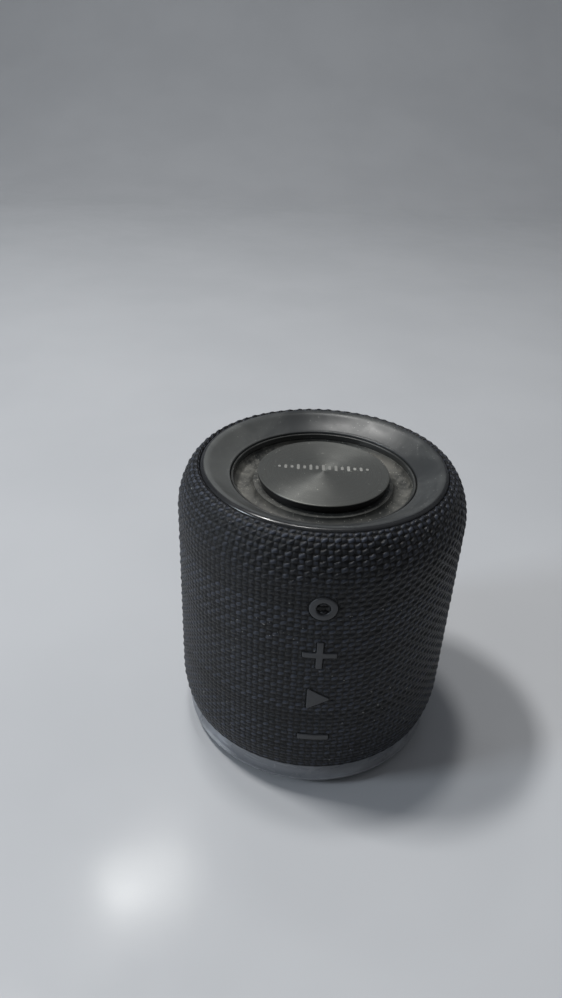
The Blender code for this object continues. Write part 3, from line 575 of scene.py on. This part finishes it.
def flattening(angle, level):
    """The share of the weave's relief that is left: less of it beside a symbol and beside the sockets."""
    side_x = BODY_RADIUS * np.sin(angle)
    front = np.cos(angle) > 0
    places = np.stack([side_x.ravel(), level.ravel()], 1)
    press = np.ones(angle.size)
    near = (front & (np.abs(side_x) < 8 * MM)).ravel()
    for outline, centre in symbols().values():
        gap = distance_to(np.array(outline) + (0, centre), places[near])
        press[near] = np.minimum(press[near], np.clip(0.45 + 0.55 * (gap - 0.1 * MM) / (0.9 * MM), 0.45, 1))
    press = press.reshape(angle.shape)
    past_ends = np.maximum(RECESS_LOW - level, level - RECESS_HIGH)
    window = np.maximum(np.abs(side_x) - RECESS_HALF_WIDTH, past_ends)
    beside_window = np.minimum(press, np.clip(0.3 + 0.7 * window / (1.2 * MM), 0.3, 1))
    return np.where(front, press, beside_window)


def tube_mesh(name, outer, inner, columns):
    """A closed tube from rings of points, columns to a ring, both sides listed from the lower edge up."""
    k = np.arange(columns)
    after = (k + 1) % columns

    def band(lower, upper, flip):
        quads = np.stack([lower + k, lower + after, upper + after, upper + k], 1)
        return quads[:, ::-1] if flip else quads

    base = len(outer)
    outer_last, inner_last = base // columns - 1, len(inner) // columns - 1
    faces = [band(r * columns, (r + 1) * columns, False) for r in range(outer_last)]
    faces += [band(base + r * columns, base + (r + 1) * columns, True) for r in range(inner_last)]
    faces.append(band(base, 0, False))
    faces.append(band(outer_last * columns, base + inner_last * columns, False))
    points = np.concatenate([outer, inner])
    faces = np.concatenate(faces)

    mesh = bpy.data.meshes.new(name)
    mesh.vertices.add(len(points))
    mesh.vertices.foreach_set("co", points.astype(np.float32).ravel())
    mesh.loops.add(faces.size)
    mesh.loops.foreach_set("vertex_index", faces.astype(np.int32).ravel())
    mesh.polygons.add(len(faces))
    mesh.polygons.foreach_set("loop_start", np.arange(0, faces.size, 4, dtype=np.int32))
    mesh.update(calc_edges=True)
    mesh.validate()
    return mesh


def make_sleeve():
    """The cloth tube: threads stand up from its outer side, and the symbols and the sockets are cut out."""
    profile, lengths = resample(sleeve_profile(), WEFT_PITCH / SAMPLES)
    slope = np.gradient(profile, axis=0)
    normals = np.stack([slope[:, 1], -slope[:, 0]], 1)
    normals /= np.linalg.norm(normals, axis=1)[:, None]
    rows = len(profile)
    columns = WARP_COUNT * SAMPLES
    column = np.arange(columns) / SAMPLES
    row = lengths / (lengths[-1] / round(lengths[-1] / WEFT_PITCH))
    grid_u, grid_v = np.meshgrid(column, row)
    tone_u, tone_v = rng.random(WARP_COUNT), rng.random(rows)
    height, weft_over, tone = weave(grid_u + 0.001, grid_v + 0.001, tone_u, tone_v)

    angle = grid_u * (math.tau / WARP_COUNT) - math.pi
    drift = 0.13 * MM * np.sin(3 * angle + 0.2) * np.sin(grid_v * 0.11)
    drift += 0.07 * MM * np.sin(17 * angle + grid_v * 0.6) * np.sin(7 * angle - grid_v * 0.23)
    drift *= np.clip(np.minimum(lengths, lengths[-1] - lengths) / (6 * MM), 0, 1)[:, None]
    lean = 0.0016 * np.sin(grid_v * 0.31 + 5 * angle) * np.sin(grid_v * 0.12)
    level = np.repeat(profile[:, 1][:, None], columns, 1)
    press = flattening(angle, level)
    ends = np.clip(np.minimum(lengths, lengths[-1] - lengths) / (1.6 * MM), 0.15, 1)[:, None]
    crest = YARN_RISE + YARN_ROUND
    lift = (height - crest) * press * ends + 0.1 * MM

    radius = profile[:, 0][:, None] + normals[:, 0][:, None] * lift - normals[:, 1][:, None] * drift
    up = profile[:, 1][:, None] + normals[:, 1][:, None] * lift + normals[:, 0][:, None] * drift
    around = angle + lean
    outer = np.stack([radius * np.sin(around), -radius * np.cos(around), up], -1).reshape(-1, 3)

    inner_rows = np.linspace(0, rows - 1, 20).round().astype(int)
    back = profile[inner_rows] - normals[inner_rows] * SLEEVE_THICKNESS
    inner_angle = angle[0]
    inner = np.stack(
        [
            back[:, 0][:, None] * np.sin(inner_angle),
            -back[:, 0][:, None] * np.cos(inner_angle),
            np.repeat(back[:, 1][:, None], columns, 1),
        ],
        -1,
    ).reshape(-1, 3)

    mesh = tube_mesh("woven_sleeve", outer, inner, columns)
    spare = len(inner)
    values = {
        "weft_over": np.concatenate([weft_over.ravel(), np.zeros(spare)]),
        "thread_tone": np.concatenate([tone.ravel(), np.full(spare, 0.5)]),
        "yarn_height": np.concatenate([(height / crest).ravel(), np.ones(spare)]),
        "along_u": np.concatenate([grid_u.ravel(), np.tile(column, len(inner_rows))]),
        "along_v": np.concatenate([grid_v.ravel(), np.repeat(row[inner_rows], columns)]),
    }
    for name, data in values.items():
        mesh.attributes.new(name, "FLOAT", "POINT").data.foreach_set("value", data.astype(np.float32))

    sleeve = object_from("woven_sleeve", mesh, None, None, body=None, sharp=None)
    edge = 0.1 * MM
    for name, (outline, centre) in symbols().items():
        shape = offset_outline(outline, edge) + (0, centre)
        cut_with(sleeve, prism_cutter("cut_" + name, shape, -60 * MM, -30 * MM))
    reach = RECESS_HALF_WIDTH + edge
    low, high = RECESS_LOW - edge, RECESS_HIGH + edge
    window = rounded([(-reach, low), (reach, low), (reach, high), (-reach, high)], 0.8 * MM)
    cut_with(sleeve, prism_cutter("cut_window", window, 30 * MM, 60 * MM))
    sleeve.data.materials.clear()
    sleeve.data.materials.append(woven_look())
    sleeve.data.shade_smooth()
    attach(sleeve, HOUSING)
    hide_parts("fabric_sleeve")


# The turned pieces ----------------------------------------------------------------


def make_bezel():
    """A wide soft roll at the outer edge that runs into the dish."""
    inner = 27.3 * MM
    outer_roll, inner_roll = 1.2 * MM, 3.2 * MM
    crest = BEZEL_RADIUS + 0.1 * MM - outer_roll
    outline = [(BEZEL_RADIUS + 0.1 * MM, BEZEL_LOW.z)]
    outline += arc((crest, BODY_TOP - outer_roll), outer_roll, outer_roll, 0, 90, 14)
    outline += arc((crest, BODY_TOP - inner_roll), inner_roll, inner_roll, 90, 123, 8)[1:]
    start = Vector(outline[-1])
    end = Vector((inner + 0.45 * MM, BODY_TOP - 3.85 * MM))
    for share in np.linspace(0, 1, 12)[1:]:
        place = start.lerp(end, share)
        sag = 0.22 * MM * math.sin(math.pi * share)
        outline.append((place.x, place.y - sag))
    outline += arc((inner + 0.45 * MM, BODY_TOP - 4.3 * MM), 0.45 * MM, 0.45 * MM, 90, 180, 6)[1:]
    outline += [
        (inner, BODY_TOP - 5.95 * MM), (28.5 * MM, BODY_TOP - 5.95 * MM),
        (28.6 * MM, BODY_TOP - 5.1 * MM), (33.8 * MM, BODY_TOP - 2.6 * MM),
        (34.2 * MM, BEZEL_LOW.z),
    ]
    turned("dished_bezel", outline, 256, bezel_look(), "satin_plastic", "top_bezel", sharp=50)


def bezel_look():
    """Satin plastic under a thin film of dust, with painted light laid on its left side, rubbed glossy along
    its crest.
    """
    look = Look("bezel_satin_left_lit", (0.03, 0.032, 0.034), 0.36)
    x, y, _ = look.axes()
    crest = look.ramp(look.radius(x, y), 34.5 * MM, 35.1 * MM)
    smears = look.noise(70, 5.0, 0.65, distortion=0.8)
    # Painted light: the pale film grows towards the left, the lit side, on top of the dust in the smears
    left = look.ramp(look.times(x, -1.0), 8 * MM, 34 * MM, 0.0, 0.30)
    film = look.plus(look.ramp(smears, 0.35, 0.75, 0.05, 0.17), left)
    specks = look.times(look.ramp(look.noise(1500, 1.0, 0.5), 0.69, 0.75), look.ramp(smears, 0.4, 0.65))
    shade = look.mix(film, (0.027, 0.029, 0.031), (0.26, 0.27, 0.26))
    shade = look.mix(look.times(specks, 0.4), shade, (0.42, 0.43, 0.4))
    shade = look.mix(crest, shade, (0.020, 0.021, 0.023))
    gloss = look.plus(look.ramp(smears, 0.35, 0.72, 0.30, 0.46), look.times(crest, -0.13))
    grain = look.bump(look.noise(2600, 2.0, 0.5), 0.22, 0.00002)
    return look.use(Base_Color=shade, Roughness=gloss, Normal=grain)


def make_clamp_ring():
    low, high = RING_LOW.z, RING_HIGH.z
    outline = [(26.3 * MM, low), (27.0 * MM, low), (27.0 * MM, high - 0.3 * MM)]
    outline += arc((26.65 * MM, high - 0.3 * MM), 0.35 * MM, 0.3 * MM, 0, 180, 8)[1:]
    look = satin_look("clamp_ring_satin", (0.03, 0.031, 0.03), 0.34, smudge=0.2, dust=0.5)
    turned("radiator_trim_ring", outline, 224, look, "frame_plastic", "radiator_clamp_ring")


def make_surround():
    """The rubber roll between the disc and the frame, turned round Z."""
    inner, outer, depth, skin = 20.5 * MM, 26.2 * MM, 2.2 * MM, 0.5 * MM
    high = SURROUND_HIGH.z
    middle, half = (inner + outer) / 2, (outer - inner) / 2
    outline = [(17.5 * MM, high), (19.8 * MM, high)]
    outline += arc((middle, high), half, depth, 180, 360, 20)
    outline += [(26.9 * MM, high), (29.3 * MM, high), (29.3 * MM, high - skin), (26.9 * MM, high - skin)]
    outline += arc((middle, high - skin), half + 0.3 * MM, depth, 0, -180, 16)
    outline += [(19.6 * MM, high - skin), (17.5 * MM, high - skin)]
    bm = lathe_bmesh(outline, 192)
    obj = from_bmesh("rubber_roll", bm, dust_and_light_surround_look(), "surround_rubber", body=None, sharp=50)
    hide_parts("radiator_surround")
    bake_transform(obj)


def make_driver_rolls():
    """Each driver's rubber roll, turned round the driver's axis in place of its CAD surround."""
    inner, outer, skin = 14.8 * MM, 18.4 * MM, 0.4 * MM
    middle, half = (inner + outer) / 2, (outer - inner) / 2
    outline = [(13.7 * MM, 0), (13.7 * MM, skin)]
    outline += arc((middle, skin), half, half, 180, 0, 14)
    outline += [(20.4 * MM, skin), (20.4 * MM, 0)]
    outline += arc((middle, 0), half - 0.3 * MM, half - 0.1 * MM, 0, 180, 12)
    look = rubber_look("driver_roll_rubber", (0.03, 0.03, 0.03), 0.75)
    for name, side in (("left", -1), ("right", 1)):
        low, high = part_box(f"{name}_surround")
        flat = high.x if side < 0 else low.x
        height = (low.z + high.z) / 2
        bm = lathe_bmesh(outline, 96)
        bm.transform(Matrix.Translation((flat, 0, height)) @ Matrix.Rotation(side * math.pi / 2, 4, "Y"))
        obj = from_bmesh(f"{name}_driver_roll", bm, look, "driver_rubber", body=None, sharp=50)
        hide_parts(f"{name}_surround")
        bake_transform(obj)


def make_cap():
    """The disc: a flared side, a fine bevelled rim and turned rings over its flat face."""
    low, high = CAP_LOW.z, CAP_HIGH.z
    outline = [(0, low), (18.3 * MM, low), (18.6 * MM, low + 0.2 * MM)]
    outline += [
        (CAP_RADIUS - 0.04 * MM, high - 0.75 * MM), (CAP_RADIUS, high - 0.6 * MM),
        (CAP_RADIUS, high - 0.35 * MM), (CAP_RADIUS - 0.05 * MM, high - 0.14 * MM),
        (CAP_RADIUS - 0.16 * MM, high - 0.04 * MM), (CAP_RADIUS - 0.3 * MM, high),
    ]
    ring_pitch = 0.32 * MM
    rings = int((CAP_RADIUS - 0.4 * MM) / ring_pitch)
    for index in range(rings, 0, -1):
        radius = index * ring_pitch
        outline += [(radius, high), (radius - ring_pitch / 2, high - 0.006 * MM)]
    outline.append((0, high - 0.003 * MM))
    turned("spun_disc", outline, 192, spun_look(), "spun_metal", "radiator_cap", body="radiator", sharp=20)
    make_mark(high)


def make_mark(high):
    """A plain sound wave of thin bars across the disc."""
    heights = (1.2, 2.2, 1.5, 3.0, 1.9, 3.3, 2.3, 3.6, 2.3, 3.3, 1.9, 3.0, 1.5, 2.2, 1.2)
    pitch = 1.85 * MM
    bar_half = 0.42 * MM
    thick = 0.05 * MM
    shift = 2.0 * MM
    bm = bmesh.new()
    for index, tall in enumerate(heights):
        centre = (index - (len(heights) - 1) / 2) * pitch
        half = max(tall * MM / 2 - bar_half, 0.02 * MM)
        outline = [(centre + x, shift + half + y) for x, y in arc((0, 0), bar_half, bar_half, 0, 180, 8)]
        outline += [(centre + x, shift - half + y) for x, y in arc((0, 0), bar_half, bar_half, 180, 360, 8)]
        lower = [bm.verts.new((x, y, high + 0.004 * MM)) for x, y in outline]
        upper = [bm.verts.new((x, y, high + thick)) for x, y in outline]
        bm.faces.new(upper)
        bm.faces.new(lower[::-1])
        count = len(outline)
        for k in range(count):
            bm.faces.new((lower[k], lower[(k + 1) % count], upper[(k + 1) % count], upper[k]))
    look = satin_look("mark_print", (0.24, 0.24, 0.225), 0.5, smudge=0.1)
    from_bmesh("sound_wave_mark", bm, look, "spun_metal", body="radiator")


def make_base_ring():
    """A trim ring tucked in under the hem, whose wall sweeps out into a rounded lip at its lower edge."""
    high, low = BASE_HIGH.z, BASE_LOW.z
    collar, cover, ledge = 38.8 * MM, 37.9 * MM, 35.5 * MM
    ledge_high, ledge_low = 9.4 * MM, 8.4 * MM
    wall, fillet_out, fillet_down = 39.25 * MM, 1.5 * MM, 3.2 * MM
    fillet_top, lip = 7.0 * MM, 0.6 * MM
    outline = [(collar, high)]
    outline += arc((wall - 0.2 * MM, high - 0.2 * MM), 0.2 * MM, 0.2 * MM, 90, 0, 3)
    outline += arc((wall + fillet_out, fillet_top), fillet_out, fillet_down, 180, 246, 14)
    lip_centre = (wall + fillet_out - 0.82 * MM, fillet_top - fillet_down - 0.23 * MM)
    outline += arc(lip_centre, lip, lip, 42, -75, 14)
    outline += [(38.9 * MM, low), (cover, low), (cover, ledge_low), (ledge, ledge_low), (ledge, ledge_high)]
    outline.append((collar, ledge_high))
    look = satin_look("base_satin", (0.235, 0.245, 0.265), 0.25, smudge=0.1, dust=0.15)
    turned("base_trim_ring", outline, 256, look, "base_plastic", "base_ring", sharp=50)


def make_foot():
    """The rubber foot, with round edges and shallow grooves in the face it stands on."""
    low, high = FOOT_LOW.z, FOOT_HIGH.z
    inner, outer = 31 * MM, FOOT_HIGH.x
    outline = [(inner, high), (outer, high), (outer, low + 0.4 * MM)]
    outline += arc((outer - 0.4 * MM, low + 0.4 * MM), 0.4 * MM, 0.4 * MM, 0, -90, 4)[1:]
    grooves = 4
    span = outer - inner - 0.8 * MM
    for index in range(grooves):
        centre = outer - 0.4 * MM - span * (index + 0.5) / grooves
        outline += [
            (centre + 0.25 * MM, low), (centre + 0.15 * MM, low + 0.2 * MM),
            (centre - 0.15 * MM, low + 0.2 * MM), (centre - 0.25 * MM, low),
        ]
    outline += arc((inner + 0.4 * MM, low + 0.4 * MM), 0.4 * MM, 0.4 * MM, -90, -180, 4)
    look = rubber_look("foot_grip", (0.02, 0.02, 0.02), 0.8, dust=0.35)
    turned("grooved_foot", outline, 128, look, "foot_rubber", "foot_ring", sharp=50)


# Buttons --------------------------------------------------------------------------


def raised_panel(outline, depth, soften):
    """A flat panel over an (x, z) outline, from y = 0 back to y = depth, with its front edge softened."""
    bm = bmesh.new()
    face = bm.faces.new([bm.verts.new((x, 0, z)) for x, z in outline])
    bmesh.ops.recalc_face_normals(bm, faces=[face])
    made = bmesh.ops.extrude_face_region(bm, geom=[face])
    behind = [v for v in made["geom"] if isinstance(v, bmesh.types.BMVert)]
    bmesh.ops.translate(bm, verts=behind, vec=(0, depth, 0))
    front = [e for e in bm.edges if abs(e.verts[0].co.y) < 1e-9 and abs(e.verts[1].co.y) < 1e-9]
    bmesh.ops.bevel(bm, geom=front, offset=soften, segments=4, profile=0.6, affect="EDGES")
    return bm


def wrap_on_body(bm, face_radius, side=-1):
    """Bends a flat piece round the body's front (side -1) or back (1); y holds each point's depth."""
    for vert in bm.verts:
        reach = face_radius - vert.co.y
        vert.co.y = side * math.sqrt(reach * reach - vert.co.x ** 2)


def slice_across(bm, half_width, step):
    """Cuts a wide face into upright strips, so that it can bend."""
    for place in np.arange(-half_width + step / 2, half_width, step):
        geometry = bm.verts[:] + bm.edges[:] + bm.faces[:]
        bmesh.ops.bisect_plane(bm, geom=geometry, plane_co=(place, 0, 0), plane_no=(1, 0, 0))


def make_button(name, outline, centre, look):
    """A rubber symbol that stands through the cloth."""
    bm = raised_panel([(x, z + centre) for x, z in outline], 3.6 * MM, 0.28 * MM)
    slice_across(bm, 5 * MM, 0.5 * MM)
    wrap_on_body(bm, BUTTON_FACE)
    body, node = f"{name}_key", f"{name}_button"
    from_bmesh(f"{name}_symbol", bm, look, "button_rubber", body=body, replaces=(node,), sharp=50)


def make_power_ring(centre, look):
    """A soft raised ring, with a floor set back inside it for the dot of cloth."""
    outer, inner = 3.8 * MM, 1.85 * MM
    soften = 0.5 * MM
    profile = [(0, 3.6 * MM), (outer, 3.6 * MM)]
    profile += [(outer - soften + r, soften - d) for r, d in arc((0, 0), soften, soften, 0, 90, 6)]
    profile += [(inner + soften - r, soften - d) for r, d in arc((0, 0), soften, soften, 90, 0, 6)]
    profile += [(inner, 1.0 * MM), (0, 1.0 * MM)]
    bm = lathe_bmesh(profile, 72)
    for vert in bm.verts:
        x, y, depth = vert.co
        vert.co = (x, depth, y + centre)
    wrap_on_body(bm, BUTTON_FACE)
    body, node = "power_key", "power_button"
    from_bmesh("power_symbol", bm, look, "button_rubber", body=body, replaces=(node,), sharp=50)
    make_cloth_dot(centre, inner - 0.08 * MM)


def make_cloth_dot(centre, radius):
    """A dot of the same cloth, sunk in the middle of the power symbol."""
    rings, segments = 14, 96
    warp_pitch = 1.86 * MM
    tones = rng.random(8)
    turns = [k * math.tau / segments for k in range(segments)]
    points = []
    data = {"weft_over": [], "thread_tone": [], "yarn_height": [], "along_u": [], "along_v": []}
    for ring in range(rings + 1):
        reach = radius * ring / rings
        for turn in turns:
            x, z = reach * math.sin(turn), reach * math.cos(turn)
            column, row = x / warp_pitch + 4.5, z / WEFT_PITCH + 4.5
            height, over, tone = weave(np.array([column]), np.array([row]), tones, tones)
            points.append((x, 0.75 * MM - float(height[0]), z + centre))
            data["weft_over"].append(float(over[0]))
            data["thread_tone"].append(float(tone[0]) * 0.5)
            data["yarn_height"].append(float(height[0]) / (YARN_RISE + YARN_ROUND))
            data["along_u"].append(column)
            data["along_v"].append(row)
    top = len(points)
    points += [(radius * math.sin(turn), 0.95 * MM, radius * math.cos(turn) + centre) for turn in turns]
    for values in data.values():
        values += [0.5] * segments
    faces = []
    for start in range(0, top, segments):
        ends = [(start + k, start + (k + 1) % segments) for k in range(segments)]
        faces += [(first, second, second + segments, first + segments) for first, second in ends]
    faces.append(tuple(range(top, top + segments)))
    mesh = mesh_from("power_cloth_dot", points, faces)
    for name, values in data.items():
        mesh.attributes.new(name, "FLOAT", "POINT").data.foreach_set("value", np.array(values, np.float32))
    bm = bmesh.new()
    bm.from_mesh(mesh)
    bmesh.ops.remove_doubles(bm, verts=bm.verts, dist=1e-7)
    wrap_on_body(bm, BUTTON_FACE)
    # Painted shade: the dot is the sleeve's yarn at 0.35 of its brightness, darkened for its sunk place
    # inside the ring
    look = woven_look("dot_yarn_shaded", 0.35)
    from_bmesh("power_cloth_dot", bm, look, "woven_sleeve", body="power_key", sharp=None)


def make_buttons():
    look = rubber_look("symbol_rubber", (0.052, 0.054, 0.059), 0.45, grain=0.00002)
    for name, (outline, centre) in symbols().items():
        if name == "power":
            make_power_ring(centre, look)
        else:
            make_button(name, outline, centre, look)


# The flap at the back -------------------------------------------------------------


def make_flap():
    """The rubber flap: a rounded panel on the body's curve, with a finger lip along its top."""
    half = COVER_HIGH.x
    low, high = COVER_LOW.z, COVER_HIGH.z
    outline = rounded([(-half, low), (half, low), (half, high), (-half, high)], 1.2 * MM, steps=6)
    bm = raised_panel(outline, 1.4 * MM, 0.3 * MM)
    slice_across(bm, 15 * MM, 0.75 * MM)
    wrap_on_body(bm, 42.45 * MM, side=1)
    look = rubber_look("flap_rubber_look", (0.022, 0.022, 0.024), 0.5)
    from_bmesh("socket_flap", bm, look, "flap_rubber", body="flap", replaces=("port_cover",), sharp=50)

    half, low, high = 4.9 * MM, high - 1.3 * MM, high - 0.2 * MM
    outline = rounded([(-half, low), (half, low), (half, high), (-half, high)], 0.5 * MM, steps=6)
    bm = raised_panel(outline, 0.8 * MM, 0.25 * MM)
    slice_across(bm, 5 * MM, 0.75 * MM)
    wrap_on_body(bm, 42.75 * MM, side=1)
    from_bmesh("flap_finger_lip", bm, look, "flap_rubber", body="flap", sharp=50)


# CAD pieces that keep their shape ----------------------------------------------------


def finish_cad_nodes():
    """A finish for each CAD node that still shows, by its material slot."""
    slots = {entry["node"]: entry["material_slot"] for entry in frame["record"]["subparts"]}
    colours = {entry["slot"]: entry["base_color"][:3] for entry in frame["record"]["materials"]}
    classes = {entry["slot"]: entry["class"] for entry in frame["record"]["materials"]}
    made = {}
    for name, obj in frame["nodes"].items():
        slot = slots[name]
        if slot not in made:
            colour, kind = colours[slot], classes[slot]
            if kind in ("brushed_steel", "aluminium", "brass", "cast_iron", "painted_metal"):
                made[slot] = metal_look(slot + "_look", colour, 0.35)
            elif kind == "rubber":
                made[slot] = rubber_look(slot + "_look", colour, 0.7)
            elif kind == "gloss_plastic":
                made[slot] = satin_look(slot + "_look", colour, 0.3, smudge=0.12)
            else:
                made[slot] = satin_look(slot + "_look", colour, 0.5, smudge=0.15, grain=0.00004)
        obj.data.materials.clear()
        obj.data.materials.append(made[slot])


# Stage ----------------------------------------------------------------------------


def aim(obj, place, target):
    obj.location = place
    obj.rotation_mode = "QUATERNION"
    obj.rotation_quaternion = (Vector(target) - Vector(place)).to_track_quat("-Z", "Y")


def area_light(name, place, size, power, colour=(1, 1, 1), target=(0, 0, 0.05)):
    light = bpy.data.lights.new(name, "AREA")
    light.shape = "RECTANGLE"
    light.size, light.size_y = size
    light.energy = power
    light.color = colour
    obj = bpy.data.objects.new(name, light)
    bpy.context.scene.collection.objects.link(obj)
    aim(obj, place, target)
    return obj


def make_stage():
    """A pale table that curves up into a pale wall well behind the speaker."""
    half_width, near, bend_start, bend_radius, wall_top = 3.0, -2.5, 0.9, 0.7, 3.0
    line = [(near, 0.0), (bend_start, 0.0)]
    for a in np.radians(np.linspace(4, 90, 24)):
        line.append((bend_start + bend_radius * math.sin(a), bend_radius * (1 - math.cos(a))))
    line.append((bend_start + bend_radius, wall_top))
    points = [(side * half_width, y, z) for y, z in line for side in (-1, 1)]
    faces = [(2 * k, 2 * k + 1, 2 * k + 3, 2 * k + 2) for k in range(len(line) - 1)]
    mesh = mesh_from("pale_table", points, faces)
    look = Look("table_lacquer", (0.56, 0.575, 0.60), 0.14)
    cloud = look.noise(9, 3.0, 0.5)
    shade = look.mix(look.ramp(cloud, 0.3, 0.7), (0.56, 0.575, 0.60), (0.59, 0.605, 0.63))
    gloss = look.ramp(look.noise(60, 3.0, 0.5), 0.3, 0.7, 0.12, 0.17)
    mesh.materials.append(look.use(Base_Color=shade, Roughness=gloss, Specular_IOR_Level=0.4))
    mesh.shade_smooth()
    table = bpy.data.objects.new("pale_table", mesh)
    bpy.context.scene.collection.objects.link(table)


def make_light():
    """Two ceiling lamps, a window at the left, a skylight the table mirrors, and a room brighter behind."""
    world = bpy.data.worlds.new("studio")
    bpy.context.scene.world = world
    world.use_nodes = True
    nodes, links = world.node_tree.nodes, world.node_tree.links
    background = nodes["Background"]
    background.inputs["Color"].default_value = (0.84, 0.87, 0.92, 1)
    toward = nodes.new("ShaderNodeTexCoord")
    facing = nodes.new("ShaderNodeVectorMath")
    facing.operation = "DOT_PRODUCT"
    facing.inputs[1].default_value = (-0.10, 0.72, 0.69)
    fall = nodes.new("ShaderNodeMapRange")
    fall.inputs["From Min"].default_value = -0.5
    fall.inputs["From Max"].default_value = 1.0
    fall.inputs["To Min"].default_value = 0.05
    fall.inputs["To Max"].default_value = 0.31
    links.new(toward.outputs["Generated"], facing.inputs[0])
    links.new(facing.outputs["Value"], fall.inputs["Value"])
    links.new(fall.outputs["Result"], background.inputs["Strength"])
    area_light("key_left", (-0.44, 0.12, 1.16), (0.17, 0.10), 6.8, (1.0, 0.99, 0.97))
    area_light("key_overhead", (-0.10, 0.15, 1.20), (0.12, 0.10), 3.0, (1.0, 0.99, 0.97))
    area_light("window_left", (-1.20, -0.35, 0.60), (0.26, 0.24), 5.6, (0.82, 0.91, 1.0))
    area_light("skylight_behind", (-0.213, 0.490, 1.0), (0.14, 0.09), 0.40, (1.0, 1.0, 0.98))


def make_camera():
    """A phone held over the table: a wide lens 27 cm from the speaker's foot, looking 31 degrees down."""
    lens_px, long_side, sensor = 741.09, 998, 36.0
    pitch, roll = 0.548483, -0.044016
    camera = bpy.data.cameras.new("view")
    camera.sensor_width = sensor
    camera.lens = lens_px * sensor / long_side
    camera.clip_start = 0.01
    camera.dof.use_dof = False
    obj = bpy.data.objects.new("view", camera)
    bpy.context.scene.collection.objects.link(obj)
    forward = Vector((0, math.cos(pitch), -math.sin(pitch)))
    right = Vector((1, 0, 0))
    down = Vector((0, -math.sin(pitch), -math.cos(pitch)))
    image_right = math.cos(roll) * right + math.sin(roll) * down
    image_down = -math.sin(roll) * right + math.cos(roll) * down
    turn = Matrix((image_right, -image_down, -forward)).transposed().to_4x4()
    obj.matrix_world = Matrix.Translation((-12.076 * MM, -189.182 * MM, 194.145 * MM)) @ turn
    bpy.context.scene.camera = obj
    bpy.context.scene.view_settings.view_transform = "Standard"


make_camera()
finish_cad_nodes()
make_sleeve()
make_bezel()
make_clamp_ring()
make_surround()
make_driver_rolls()
make_cap()
make_base_ring()
make_foot()
make_buttons()
make_flap()
make_stage()
make_light()
